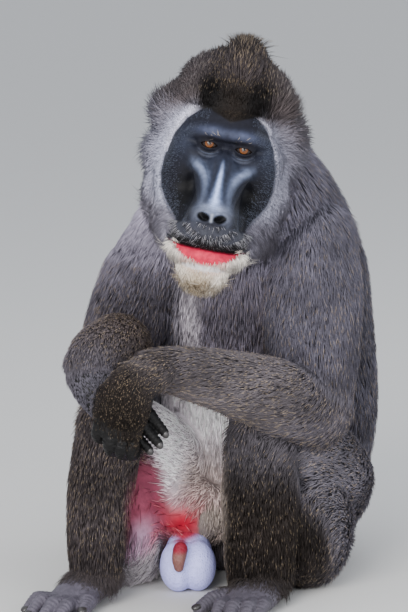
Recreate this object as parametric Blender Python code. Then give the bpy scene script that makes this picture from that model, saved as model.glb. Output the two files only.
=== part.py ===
"""An adult male drill monkey, seated with its forearms on its knees, life size.

Metres, +Z up, standing on z = 0. The camera side is -Y, so +X is the animal's left.
Each limb is a smooth fused form; neighbours are parted by 0.3 mm cuts, the limbs whole.
"""

import math

import bmesh
import bpy
import numpy as np
from mathutils import Matrix, Vector
from mathutils.bvhtree import BVHTree

# Driving sizes
GAP = 0.0003
BODY_TURN = math.radians(25)
HEAD_ROLL = math.radians(10.5)
HEAD_YAW = math.radians(-3)
EYE_MIDPOINT = Vector((0.007, -0.170, 0.576))
EYE_RADIUS = 0.0118
EYE_CENTRES = [(-0.0218, 0.0065, 0.0), (0.0218, 0.0065, 0.0)]
NECK_CUT_Z = 0.478
CHEST_CUT_Z = 0.335
WAIST_CUT_Z = 0.215

BODY_LEFT = (math.cos(BODY_TURN), -math.sin(BODY_TURN), 0)
HEAD_PLACE = (
    Matrix.Translation(EYE_MIDPOINT)
    @ Matrix.Rotation(HEAD_YAW, 4, "Z")
    @ Matrix.Rotation(HEAD_ROLL, 4, "Y")
)

# Each station of a tube is its centre, its half width along the side vector and its half depth
TORSO = [
    (0.054, 0.044, 0.030, 0.112, 0.110),
    (0.055, 0.051, 0.100, 0.139, 0.128),
    (0.059, 0.057, 0.200, 0.155, 0.132),
    (0.057, 0.055, 0.300, 0.152, 0.136),
    (0.058, 0.044, 0.390, 0.138, 0.132),
    (0.052, 0.028, 0.460, 0.116, 0.112),
    (0.040, -0.010, 0.520, 0.086, 0.086),
    (0.026, -0.055, 0.562, 0.060, 0.060),
]
ARM_LEFT = [
    (0.112, -0.010, 0.440, 0.064, 0.062),
    (0.118, -0.062, 0.380, 0.066, 0.062),
    (0.118, -0.110, 0.310, 0.062, 0.056),
    (0.120, -0.146, 0.248, 0.050, 0.048),
]
FOREARM_LEFT = [
    (0.122, -0.146, 0.246, 0.049, 0.048),
    (0.062, -0.190, 0.270, 0.046, 0.044),
    (0.005, -0.225, 0.292, 0.039, 0.038),
    (-0.048, -0.252, 0.309, 0.032, 0.029),
    (-0.084, -0.272, 0.313, 0.029, 0.024),
]
ARM_RIGHT = [
    (-0.056, 0.048, 0.440, 0.062, 0.060),
    (-0.092, 0.036, 0.385, 0.062, 0.058),
    (-0.122, 0.016, 0.322, 0.057, 0.052),
    (-0.138, -0.006, 0.282, 0.048, 0.045),
]
FOREARM_RIGHT = [
    (-0.138, -0.004, 0.282, 0.048, 0.045),
    (-0.132, -0.070, 0.306, 0.045, 0.043),
    (-0.136, -0.140, 0.322, 0.041, 0.039),
    (-0.152, -0.200, 0.326, 0.037, 0.033),
    (-0.165, -0.236, 0.314, 0.034, 0.028),
]
LEG_LEFT = [
    (0.118, 0.046, 0.094, 0.080, 0.084),
    (0.116, -0.020, 0.126, 0.086, 0.086),
    (0.092, -0.090, 0.174, 0.072, 0.070),
    (0.060, -0.146, 0.196, 0.054, 0.052),
]
SHIN_LEFT = [
    (0.058, -0.148, 0.198, 0.052, 0.050),
    (0.051, -0.166, 0.135, 0.053, 0.050),
    (0.050, -0.180, 0.080, 0.050, 0.048),
    (0.050, -0.188, 0.040, 0.047, 0.041),
]
CALF_LEFT = (0.106, -0.104, 0.080)
CALF_LEFT_RADII = (0.068, 0.078, 0.090)
LEG_RIGHT = [
    (-0.044, 0.050, 0.092, 0.070, 0.080),
    (-0.072, -0.014, 0.126, 0.074, 0.080),
    (-0.108, -0.080, 0.182, 0.062, 0.064),
    (-0.134, -0.136, 0.220, 0.048, 0.048),
]
SHIN_RIGHT = [
    (-0.136, -0.144, 0.220, 0.048, 0.047),
    (-0.150, -0.162, 0.150, 0.046, 0.045),
    (-0.156, -0.180, 0.085, 0.042, 0.042),
    (-0.158, -0.190, 0.042, 0.036, 0.035),
]
CALF_RIGHT = (-0.112, -0.100, 0.080)
CALF_RIGHT_RADII = (0.046, 0.062, 0.086)
INNER_THIGH = (-0.088, -0.070, 0.105)
INNER_THIGH_RADII = (0.046, 0.060, 0.068)
INNER_FRINGE = (-0.104, -0.078, 0.038)
INNER_FRINGE_RADII = (0.038, 0.050, 0.046)
TAIL = [
    (0.096, 0.130, 0.108, 0.024, 0.024),
    (0.112, 0.166, 0.122, 0.021, 0.021),
    (0.124, 0.192, 0.146, 0.017, 0.017),
    (0.130, 0.204, 0.170, 0.010, 0.010),
]

SCROTUM = [
    ((-0.054, -0.142, 0.033), (0.024, 0.029, 0.034)),
    ((-0.029, -0.138, 0.032), (0.024, 0.029, 0.033)),
    ((-0.041, -0.108, 0.040), (0.031, 0.036, 0.034)),
]
SHEATH = [
    (-0.048, -0.148, 0.068, 0.0075, 0.0075),
    (-0.051, -0.167, 0.061, 0.0080, 0.0080),
    (-0.053, -0.174, 0.050, 0.0074, 0.0074),
    (-0.053, -0.174, 0.039, 0.0048, 0.0048),
]

# Hands: the palm as a tube, then each digit by its joints (x, y, z, radius)
PALM_LEFT = [
    (-0.074, -0.270, 0.314, 0.026, 0.021),
    (-0.106, -0.292, 0.298, 0.033, 0.022),
    (-0.120, -0.304, 0.268, 0.036, 0.019),
    (-0.124, -0.305, 0.250, 0.033, 0.014),
]
DIGITS_LEFT = [
    [(-0.146, -0.302, 0.262, 0.0080), (-0.151, -0.298, 0.240, 0.0074), (-0.147, -0.272, 0.229, 0.0068),
     (-0.141, -0.254, 0.240, 0.0058)],
    [(-0.132, -0.305, 0.256, 0.0086), (-0.136, -0.303, 0.227, 0.0080), (-0.133, -0.275, 0.214, 0.0072),
     (-0.128, -0.256, 0.226, 0.0060)],
    [(-0.118, -0.305, 0.252, 0.0086), (-0.122, -0.303, 0.222, 0.0080), (-0.119, -0.276, 0.210, 0.0072),
     (-0.114, -0.258, 0.221, 0.0060)],
    [(-0.103, -0.303, 0.250, 0.0078), (-0.109, -0.301, 0.219, 0.0072), (-0.107, -0.278, 0.209, 0.0066),
     (-0.102, -0.262, 0.218, 0.0056)],
    [(-0.122, -0.286, 0.300, 0.0105), (-0.146, -0.290, 0.288, 0.0090), (-0.153, -0.290, 0.270, 0.0068)],
]
PALM_RIGHT = [
    (-0.165, -0.232, 0.312, 0.030, 0.024),
    (-0.157, -0.254, 0.294, 0.033, 0.020),
    (-0.134, -0.262, 0.272, 0.034, 0.017),
    (-0.122, -0.262, 0.258, 0.031, 0.014),
]
DIGITS_RIGHT = [
    [(-0.106, -0.262, 0.276, 0.0078), (-0.088, -0.270, 0.258, 0.0074), (-0.070, -0.272, 0.236, 0.0062)],
    [(-0.116, -0.263, 0.266, 0.0080), (-0.095, -0.273, 0.243, 0.0076), (-0.077, -0.276, 0.223, 0.0062)],
    [(-0.126, -0.263, 0.254, 0.0078), (-0.106, -0.268, 0.232, 0.0072), (-0.089, -0.270, 0.214, 0.0060)],
    [(-0.140, -0.262, 0.246, 0.0074), (-0.126, -0.262, 0.222, 0.0068), (-0.112, -0.258, 0.203, 0.0056)],
    [(-0.130, -0.248, 0.292, 0.0095), (-0.108, -0.244, 0.286, 0.0080), (-0.092, -0.244, 0.272, 0.0062)],
]

# Feet: the sole as a tube from the heel, then each toe; the great toe comes last
SOLE_LEFT = [
    (0.066, -0.150, 0.024, 0.025, 0.025),
    (0.058, -0.185, 0.026, 0.030, 0.027),
    (0.042, -0.228, 0.017, 0.036, 0.018),
    (0.032, -0.252, 0.013, 0.035, 0.014),
]
TOES_LEFT = [
    [(0.056, -0.248, 0.013, 0.0092), (0.052, -0.273, 0.016, 0.0088), (0.047, -0.294, 0.007, 0.0074)],
    [(0.040, -0.254, 0.013, 0.0096), (0.034, -0.285, 0.017, 0.0090), (0.028, -0.308, 0.007, 0.0076)],
    [(0.024, -0.254, 0.013, 0.0096), (0.015, -0.285, 0.017, 0.0090), (0.009, -0.308, 0.007, 0.0076)],
    [(0.009, -0.248, 0.013, 0.0090), (-0.001, -0.275, 0.016, 0.0084), (-0.007, -0.296, 0.007, 0.0071)],
    [(0.016, -0.218, 0.015, 0.0120), (-0.010, -0.240, 0.014, 0.0108), (-0.027, -0.259, 0.008, 0.0088)],
]
SOLE_RIGHT = [
    (-0.142, -0.160, 0.024, 0.024, 0.024),
    (-0.158, -0.190, 0.026, 0.029, 0.026),
    (-0.178, -0.222, 0.018, 0.033, 0.018),
    (-0.190, -0.242, 0.013, 0.032, 0.014),
]
TOES_RIGHT = [
    [(-0.211, -0.230, 0.013, 0.0090), (-0.229, -0.246, 0.018, 0.0085), (-0.241, -0.261, 0.008, 0.0071)],
    [(-0.203, -0.242, 0.013, 0.0094), (-0.223, -0.264, 0.019, 0.0088), (-0.236, -0.282, 0.008, 0.0074)],
    [(-0.191, -0.248, 0.013, 0.0094), (-0.208, -0.276, 0.019, 0.0088), (-0.220, -0.296, 0.008, 0.0074)],
    [(-0.178, -0.248, 0.013, 0.0088), (-0.191, -0.277, 0.017, 0.0082), (-0.201, -0.296, 0.008, 0.0069)],
    [(-0.160, -0.222, 0.015, 0.0120), (-0.166, -0.253, 0.015, 0.0106), (-0.171, -0.277, 0.009, 0.0088)],
]


def catmull(rows, steps):
    """A smooth run of rows through the given ones, with `steps` to a span."""
    rows = np.asarray(rows, float)
    ends = np.vstack([2 * rows[0] - rows[1], rows, 2 * rows[-1] - rows[-2]])
    t = np.linspace(0, 1, steps, endpoint=False)[:, None]
    out = []
    for i in range(len(rows) - 1):
        a, b, c, d = ends[i : i + 4]
        out.append(0.5 * (2 * b + (c - a) * t + (2 * a - 5 * b + 4 * c - d) * t**2
                          + (3 * b - a - 3 * c + d) * t**3))
    out.append(rows[-1:])
    return np.vstack(out)


def tube(stations, side=(1, 0, 0), ring=20, steps=5, dome=4):
    """A closed tube with domed ends through stations of (x, y, z, half width, half depth)."""
    rows = catmull(stations, steps)
    centres, radii = rows[:, :3], rows[:, 3:5]
    tangents = np.gradient(centres, axis=0)
    tangents /= np.linalg.norm(tangents, axis=1)[:, None]
    swell = np.linspace(0, math.pi / 2, dome + 1)[1:-1]
    start = [(centres[0] - tangents[0] * radii[0].mean() * math.sin(a), tangents[0],
              radii[0] * math.cos(a)) for a in swell[::-1]]
    finish = [(centres[-1] + tangents[-1] * radii[-1].mean() * math.sin(a), tangents[-1],
               radii[-1] * math.cos(a)) for a in swell]
    rings = start + list(zip(centres, tangents, radii)) + finish
    angles = np.linspace(0, 2 * math.pi, ring, endpoint=False)
    side = np.asarray(side, float)
    points = []
    for centre, tangent, radius in rings:
        across = side - tangent * (side @ tangent)
        across /= np.linalg.norm(across)
        up = np.cross(tangent, across)
        points.append(centre + radius[0] * np.cos(angles)[:, None] * across
                      + radius[1] * np.sin(angles)[:, None] * up)
    points.append([centres[0] - tangents[0] * radii[0].mean(),
                   centres[-1] + tangents[-1] * radii[-1].mean()])
    points = np.vstack(points)
    faces = []
    for i in range(len(rings) - 1):
        for j in range(ring):
            k = (j + 1) % ring
            faces.append((i * ring + j, i * ring + k, (i + 1) * ring + k, (i + 1) * ring + j))
    first, last, base = len(points) - 2, len(points) - 1, (len(rings) - 1) * ring
    for j in range(ring):
        k = (j + 1) % ring
        faces.append((first, k, j))
        faces.append((last, base + j, base + k))
    return points, faces


def digit(joints, ring=10):
    """A finger or toe through joints of (x, y, z, radius)."""
    return tube([(x, y, z, r, r) for x, y, z, r in joints], side=(0.31, 0.17, 0.93), ring=ring, steps=4, dome=3)


def blob(centre, radii, turn=None, divisions=3):
    """An ellipsoid."""
    bm = bmesh.new()
    bmesh.ops.create_icosphere(bm, subdivisions=divisions, radius=1)
    points = np.array([v.co for v in bm.verts]) * np.asarray(radii)
    faces = [[v.index for v in f.verts] for f in bm.faces]
    bm.free()
    if turn is not None:
        points = points @ np.array(turn.to_3x3()).T
    return points + np.asarray(centre), faces


def both(piece):
    """The piece and its mirror image on the other side of the head, whose middle is x = 0."""
    points, faces = piece
    return [piece, (points * (-1, 1, 1), [tuple(reversed(f)) for f in faces])]


def place(pieces, matrix):
    turn, shift = np.array(matrix.to_3x3()), np.array(matrix.translation)
    return [(points @ turn.T + shift, faces) for points, faces in pieces]


def solid(name, pieces):
    """One object that holds the pieces as they are, each facing out."""
    points = np.vstack([p for p, _ in pieces])
    starts = np.cumsum([0] + [len(p) for p, _ in pieces])
    faces = [tuple(int(i + s) for i in f) for s, (_, fs) in zip(starts, pieces) for f in fs]
    mesh = bpy.data.meshes.new(name)
    mesh.from_pydata(points.tolist(), [], faces)
    bm = bmesh.new()
    bm.from_mesh(mesh)
    bmesh.ops.recalc_face_normals(bm, faces=bm.faces)
    bm.to_mesh(mesh)
    bm.free()
    obj = bpy.data.objects.new(name, mesh)
    bpy.context.scene.collection.objects.link(obj)
    return obj


def settle(obj):
    """Applies the object's modifiers."""
    bpy.context.view_layer.update()
    graph = bpy.context.evaluated_depsgraph_get()
    mesh = bpy.data.meshes.new_from_object(obj.evaluated_get(graph))
    obj.modifiers.clear()
    obj.data = mesh
    return obj


def fuse(obj, voxel, rounds):
    """Melts the object's pieces into one skin and smooths the joins."""
    remesh = obj.modifiers.new("fuse", "REMESH")
    remesh.mode, remesh.voxel_size = "VOXEL", voxel
    smooth = obj.modifiers.new("smooth", "SMOOTH")
    smooth.factor, smooth.iterations = 0.5, rounds
    return settle(obj)


def lighten(obj, triangles):
    """Brings the mesh down to about this many triangles, keeping its closest detail."""
    obj.modifiers.new("triangles", "TRIANGULATE")
    settle(obj)
    mod = obj.modifiers.new("lighten", "DECIMATE")
    mod.ratio = min(1.0, triangles / len(obj.data.polygons))
    return settle(obj)


def closed(mesh):
    """True where every edge of the mesh has two faces."""
    bm = bmesh.new()
    bm.from_mesh(mesh)
    good = all(e.is_manifold for e in bm.edges)
    bm.free()
    return good


def combine(obj, operation, other):
    """A boolean with an object or a collection that leaves the largest closed piece."""
    start = obj.data.copy()
    for solver in ("EXACT", "MANIFOLD"):
        obj.data = start.copy()
        mod = obj.modifiers.new("combine", "BOOLEAN")
        mod.operation, mod.solver = operation, solver
        if isinstance(other, bpy.types.Collection):
            mod.operand_type, mod.collection = "COLLECTION", other
        else:
            mod.object = other
        settle(obj)
        keep_largest(obj)
        if obj.data.polygons and closed(obj.data):
            return True
        print(solver, "leaves", obj.name, "open")
    return False


def cut(obj, cutter):
    """Takes the cutter away from the object and keeps its largest piece."""
    combine(obj, "DIFFERENCE", cutter)
    bpy.data.objects.remove(cutter)
    return obj


def shells(bm):
    """The mesh's separate closed surfaces, as lists of faces."""
    left, out = set(bm.faces), []
    while left:
        seed = left.pop()
        found, edge = [seed], [seed]
        while edge:
            for e in edge.pop().edges:
                for f in e.link_faces:
                    if f in left:
                        left.remove(f)
                        found.append(f)
                        edge.append(f)
        out.append(found)
    return out


def volume(faces):
    total = 0.0
    for f in faces:
        a = f.verts[0].co
        for i in range(1, len(f.verts) - 1):
            total += a.dot(f.verts[i].co.cross(f.verts[i + 1].co)) / 6
    return total


def keep_largest(obj, score=None):
    """Keeps the closed surface that holds the most, or that scores highest."""
    bm = bmesh.new()
    bm.from_mesh(obj.data)
    found = shells(bm)
    if len(found) > 1:
        best = max(found, key=score or volume)
        keep = set(best)
        bmesh.ops.delete(bm, geom=[f for f in bm.faces if f not in keep], context="FACES")
        loose = [v for v in bm.verts if not v.link_faces]
        bmesh.ops.delete(bm, geom=loose, context="VERTS")
        bm.to_mesh(obj.data)
    bm.free()
    return obj


def duplicate(obj, name):
    copy = obj.copy()
    copy.data = obj.data.copy()
    copy.name = name
    bpy.context.scene.collection.objects.link(copy)
    return copy


def swollen(obj, by=GAP):
    """A copy that stands this far proud of the object, to cut its neighbour with."""
    copy = duplicate(obj, "swollen")
    mod = copy.modifiers.new("swell", "DISPLACE")
    mod.strength, mod.mid_level = by, 0
    return settle(copy)


def box(low, high):
    low, high = np.asarray(low, float), np.asarray(high, float)
    corners = np.array([(x, y, z) for x in (0, 1) for y in (0, 1) for z in (0, 1)])
    faces = [(0, 1, 3, 2), (4, 6, 7, 5), (0, 4, 5, 1), (2, 3, 7, 6), (0, 2, 6, 4), (1, 5, 7, 3)]
    return solid("box", [(low + corners * (high - low), faces)])


def slab(point, normal, reach=0.5, thick=None):
    """A block on the far side of a plane, or a thin disc of that thickness on it."""
    normal = Vector(normal).normalized()
    block = box((-reach, -reach, 0), (reach, reach, thick if thick else reach))
    block.data.transform(Matrix.Translation(Vector(point)) @ normal.to_track_quat("Z", "Y").to_matrix().to_4x4())
    return block


def part_in_two(obj, name, point, normal):
    """Parts the object at a plane: the piece past it becomes a new object of that name."""
    far = duplicate(obj, name)
    normal = Vector(normal).normalized()
    cut(obj, slab(Vector(point) - normal * GAP / 2, normal))
    cut(far, slab(Vector(point) + normal * GAP / 2, -normal))
    return far


def head_pieces():
    """Skull, muzzle, jaw and the plain outline of the ruff and crest, in the head's own frame."""
    pieces = [
        blob((0, 0.062, 0.016), (0.050, 0.066, 0.046)),
        tube([(-0.046, 0.010, 0.010, 0.0085, 0.0085), (-0.026, -0.006, 0.0155, 0.0100, 0.0095),
              (0, -0.008, 0.0150, 0.0085, 0.0085), (0.026, -0.006, 0.0155, 0.0100, 0.0095),
              (0.046, 0.010, 0.010, 0.0085, 0.0085)], side=(0, 0, 1), ring=12),
        tube([(0, 0.020, -0.034, 0.034, 0.036), (0, -0.012, -0.060, 0.030, 0.034),
              (0, -0.042, -0.082, 0.032, 0.032), (0, -0.062, -0.094, 0.036, 0.027)]),
        tube([(0, 0.030, -0.070, 0.040, 0.036), (0, -0.010, -0.092, 0.037, 0.034),
              (0, -0.046, -0.112, 0.037, 0.026)]),
        blob((0, -0.082, -0.082), (0.021, 0.012, 0.012)),
        blob((0, -0.046, -0.132), (0.034, 0.026, 0.026)),
        tube([(-0.044, 0.020, -0.085, 0.020, 0.022), (-0.038, -0.034, -0.122, 0.014, 0.016),
              (0, -0.070, -0.130, 0.012, 0.012), (0.038, -0.034, -0.122, 0.014, 0.016),
              (0.044, 0.020, -0.085, 0.020, 0.022)], side=(0, 0, 1)),
        tube([(-0.042, -0.036, -0.106, 0.011, 0.010), (-0.030, -0.068, -0.105, 0.011, 0.010),
              (0, -0.080, -0.104, 0.011, 0.010), (0.030, -0.068, -0.105, 0.011, 0.010),
              (0.042, -0.036, -0.106, 0.011, 0.010)], side=(0, 0, 1), ring=12),
        blob((0, 0.072, -0.012), (0.088, 0.052, 0.078)),
        blob((-0.028, 0.079, -0.036), (0.071, 0.048, 0.073)),
        blob((-0.012, 0.069, 0.022), (0.080, 0.056, 0.068)),
        blob((-0.005, 0.063, 0.047), (0.070, 0.057, 0.060)),
        blob((0.001, 0.061, 0.074), (0.038, 0.050, 0.039)),
    ]
    cheek = blob((0.040, 0.030, -0.030), (0.034, 0.026, 0.052))
    zygoma = tube([(0.028, 0.002, -0.020, 0.010, 0.010), (0.046, 0.010, -0.016, 0.012, 0.010),
                   (0.062, 0.034, -0.010, 0.012, 0.010)], side=(0, 0, 1), ring=12)
    ridge = tube([(0.034, -0.002, -0.026, 0.008, 0.008), (0.025, -0.024, -0.040, 0.009, 0.008),
                  (0.018, -0.050, -0.058, 0.009, 0.007), (0.018, -0.072, -0.078, 0.010, 0.007)], ring=12)
    lid = blob((0.0218, 0.0065, 0.0), (0.0150, 0.0142, 0.0142))
    for piece in (cheek, zygoma, ridge, lid):
        pieces += both(piece)
    return pieces


def almond(centre, half_width, half_height, depth):
    """A prism with the outline of the open lids, from in front of the eye back to its middle."""
    ring = []
    for i in range(16):
        a = 2 * math.pi * i / 16
        ring.append((centre[0] + half_width * math.cos(a), centre[2] + half_height * math.sin(a)
                     * (1 - 0.35 * abs(math.cos(a)) ** 3)))
    front = [(x, centre[1] - depth, z) for x, z in ring]
    back = [(x, centre[1], z) for x, z in ring]
    faces = [tuple(range(15, -1, -1)), tuple(range(16, 32))]
    faces += [(i, (i + 1) % 16, 16 + (i + 1) % 16, 16 + i) for i in range(16)]
    return np.array(front + back), faces


def face_cutters():
    """The open lids, the nostrils and the mouth line."""
    lids = [almond(c, 0.0112, 0.0058, 0.04) for c in EYE_CENTRES]
    nostril = blob((0.0098, -0.0930, -0.0850), (0.0062, 0.0085, 0.0042), Matrix.Rotation(0.35, 4, "Y"), 2)
    mouth = tube([(-0.046, -0.030, -0.1170, 0.0110, 0.0013), (-0.036, -0.050, -0.1180, 0.0120, 0.0013),
                  (-0.020, -0.068, -0.1165, 0.0120, 0.0013), (0, -0.076, -0.1160, 0.0120, 0.0013),
                  (0.020, -0.068, -0.1165, 0.0120, 0.0013), (0.036, -0.050, -0.1180, 0.0120, 0.0013),
                  (0.046, -0.030, -0.1170, 0.0110, 0.0013)], side=(0.001, 1, 0), ring=12, steps=3)
    return [[p] for p in lids] + [[p] for p in both(nostril)] + [[mouth]]


def make_head():
    head = fuse(solid("head", place(head_pieces(), HEAD_PLACE)), 0.0028, 4)
    lighten(head, 1880)
    for pieces in face_cutters():
        cut(head, solid("cutter", place(pieces, HEAD_PLACE)))
    for centre in EYE_CENTRES:
        cut(head, solid("cutter", place([blob(centre, (EYE_RADIUS + GAP,) * 3)], HEAD_PLACE)))
    return head


def make_ear(name, sign):
    tilt = Matrix.Rotation(sign * math.radians(-28), 4, "Z") @ Matrix.Rotation(sign * math.radians(8), 4, "Y")
    centre = Vector((sign * 0.090, 0.098, -0.004))
    ear = solid(name, place([blob(centre, (0.0100, 0.0180, 0.0250), tilt, 2)], HEAD_PLACE))
    bowl = centre + tilt.to_3x3() @ Vector((sign * 0.0095, -0.002, 0.001))
    cut(ear, solid("cutter", place([blob(bowl, (0.0095, 0.0135, 0.0195), tilt, 2)], HEAD_PLACE)))
    return ear


def lock(name, path, widths, across, thickness):
    """A flat tapered lock: a flat four-sided ring at each point of the path but the last, its tip."""
    points, faces = [], []
    for i in range(len(path) - 1):
        ahead = (path[i + 1] - path[max(i - 1, 0)]).normalized()
        flat = (across - ahead * across.dot(ahead)).normalized()
        face = ahead.cross(flat)
        half, deep = flat * widths[i] / 2, face * thickness[i] / 2
        points += [path[i] + half, path[i] + deep, path[i] - half, path[i] - deep]
    rings = len(path) - 1
    points.append(path[-1])
    for i in range(rings - 1):
        for j in range(4):
            k = (j + 1) % 4
            faces.append((4 * i + j, 4 * i + k, 4 * i + 4 + k, 4 * i + 4 + j))
    faces.append((3, 2, 1, 0))
    for j in range(4):
        faces.append((4 * rings - 4 + j, 4 * rings - 4 + (j + 1) % 4, 4 * rings))
    return solid(name, [(np.array(points), faces)])


def laid_lock(name, ground, centre, toward, flow, length, width, lift, bend, matrix):
    """A lock rooted where the line from `toward` to `centre` meets the ground, lying along the flow."""
    ray = (centre - toward).normalized()
    hit, normal, _, _ = ground.ray_cast(toward, ray)
    if hit is None:
        return None
    lie = flow(hit)
    lie = (lie - normal * lie.dot(normal)).normalized()
    across = normal.cross(lie)
    path = []
    for t in (0, 0.40, 0.76, 1.0):
        path.append(hit - normal * 0.0045 + lie * length * t + normal * (lift * t - bend * t * t))
    turn = matrix.to_3x3()
    return lock(name, [matrix @ q for q in path], (width * 0.8, width, width * 0.6), turn @ across,
                (0.0075, 0.0065, 0.0040))


def bvh(obj, matrix=Matrix.Identity(4)):
    """The object's surface, seen in the frame that the matrix leads from."""
    back = matrix.inverted()
    mesh = obj.data
    return BVHTree.FromPolygons([back @ v.co for v in mesh.vertices], [list(p.vertices) for p in mesh.polygons])


def head_flow(p):
    """Hair lies out from the face, then back; on the crown it leans in to the crest."""
    out = Vector((p.x, 0, p.z + 0.02)).normalized()
    back = Vector((0, 1, -0.35))
    share = min(1.0, max(0.0, (p.y - 0.012) / 0.095))
    lie = out * (1 - share) + back * share
    if p.z > 0.03:
        lie.x -= 7.0 * p.x * (1 - share)
        lie.z += 0.5 * (1 - share)
    return lie


def bare_face(p):
    """True on the black mask and the muzzle, which carry no locks."""
    inside = (p.x / 0.068) ** 2 + ((p.z + 0.030) / 0.066) ** 2 < 1
    return p.y < 0.040 and (inside or p.y < -0.010 and p.z < 0.020)


def head_locks(head):
    """The ruff, the crown's crest and the beard."""
    ground = bvh(head, HEAD_PLACE)
    centre = Vector((-0.004, 0.066, 0.004))
    rng = np.random.default_rng(11)
    locks = []
    rows = 6
    for i in range(rows):
        polar = math.radians(40 + 112 * i / (rows - 1))
        count = max(6, round(2 * math.pi * math.sin(polar) * 0.080 / 0.0268))
        for j in range(count):
            around = 2 * math.pi * (j + 0.5 * (i % 2) + rng.uniform(-0.12, 0.12)) / count
            ray = Vector((math.sin(polar) * math.sin(around), -math.cos(polar), math.sin(polar) * math.cos(around)))
            hit = ground.ray_cast(centre + ray * 0.3, -ray)[0]
            if hit is None or bare_face(hit):
                continue
            crown = max(0.0, hit.z - 0.02) / 0.08
            length = (0.054 + 0.006 * crown) * rng.uniform(0.9, 1.1)
            made = laid_lock("lock", ground, centre, centre + ray * 0.3, head_flow, length,
                             0.0250 * rng.uniform(0.9, 1.1), 0.0130, 0.0130, HEAD_PLACE)
            locks.append(made)
    chin = Vector((0, -0.040, -0.118))
    for i, low in enumerate((24, 58, 84)):
        polar = math.radians(low)
        count = (4, 8, 8)[i]
        for j in range(count):
            around = 2 * math.pi * (j + 0.5 * (i % 2)) / count
            ray = Vector((math.sin(polar) * math.sin(around), math.sin(polar) * math.cos(around), -math.cos(polar)))
            if i == 2 and ray.y < -0.5:
                continue
            made = laid_lock("lock", ground, chin, chin + ray * 0.2, lambda p: Vector((p.x * 6, 0.15, -1)),
                             0.030 * rng.uniform(0.9, 1.1), 0.0190, 0.0060, 0.004, HEAD_PLACE)
            if made:
                locks.append(made)
    return locks


def neck_locks(neck):
    """The mantle, which runs from behind the ruff down over the withers."""
    ground = bvh(neck)
    rng = np.random.default_rng(12)
    locks = []
    for i in range(3):
        height = 0.560 - 0.030 * i
        count = 8 + i
        middle = Vector((0.036 + 0.006 * i, -0.010 + 0.016 * i, height))
        for j in range(count):
            around = math.radians(-118 + 236 * (j + 0.5 * (i % 2)) / (count - 1)) + rng.uniform(-0.03, 0.03)
            ray = Vector((math.sin(around), math.cos(around), 0.25)).normalized()
            made = laid_lock("lock", ground, middle, middle + ray * 0.4,
                             lambda p: Vector((0.25 + 2 * (p.x - 0.05), 0.55, -1)), 0.048 * rng.uniform(0.9, 1.1),
                             0.0300, 0.0070, 0.0035, Matrix.Identity(4))
            if made:
                locks.append(made)
    return locks


def clear_of(locks, others, by=3 * GAP):
    """Cuts the locks clear of the other objects and drops those that run inside one."""
    for other in others:
        cutter = swollen(other, by)
        tree = bvh(cutter)
        kept = []
        for obj in locks:
            near = min(tree.find_nearest(v.co)[3] for v in obj.data.vertices)
            if near > 0.012 or combine(obj, "DIFFERENCE", cutter):
                kept.append(obj)
            else:
                bpy.data.objects.remove(obj)
        locks = kept
        bpy.data.objects.remove(cutter)
    return locks


def grow(obj, locks):
    """Joins the locks to the object as one closed body."""
    group = bpy.data.collections.new("locks")
    for piece in locks:
        group.objects.link(piece)
    combine(obj, "UNION", group)
    for piece in locks:
        bpy.data.objects.remove(piece)
    bpy.data.collections.remove(group)
    return obj


def limb(name, upper, lower, triangles, lower_side=(1, 0, 0), extra=()):
    obj = solid(name, [tube(upper), tube(lower, lower_side), *extra])
    fuse(obj, 0.005, 10)
    return lighten(obj, triangles)


def extremity(name, palm, digits, triangles):
    obj = solid(name, [tube(palm)] + [digit(d) for d in digits])
    fuse(obj, 0.0024, 3)
    return lighten(obj, triangles)


def paint(obj, colour, roughness):
    mat = bpy.data.materials.new(obj.name)
    mat.use_nodes = True
    shader = mat.node_tree.nodes["Principled BSDF"]
    shader.inputs["Base Color"].default_value = (*colour, 1)
    shader.inputs["Roughness"].default_value = roughness
    obj.data.materials.clear()
    obj.data.materials.append(mat)


def centre_on_origin():
    """Puts the middle of the whole animal's box over the origin."""
    corners = np.vstack([np.array([v.co for v in obj.data.vertices]) for obj in bpy.data.objects])
    middle = (corners.min(axis=0) + corners.max(axis=0)) / 2
    for obj in bpy.data.objects:
        obj.data.transform(Matrix.Translation((-middle[0], -middle[1], 0)))


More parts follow.
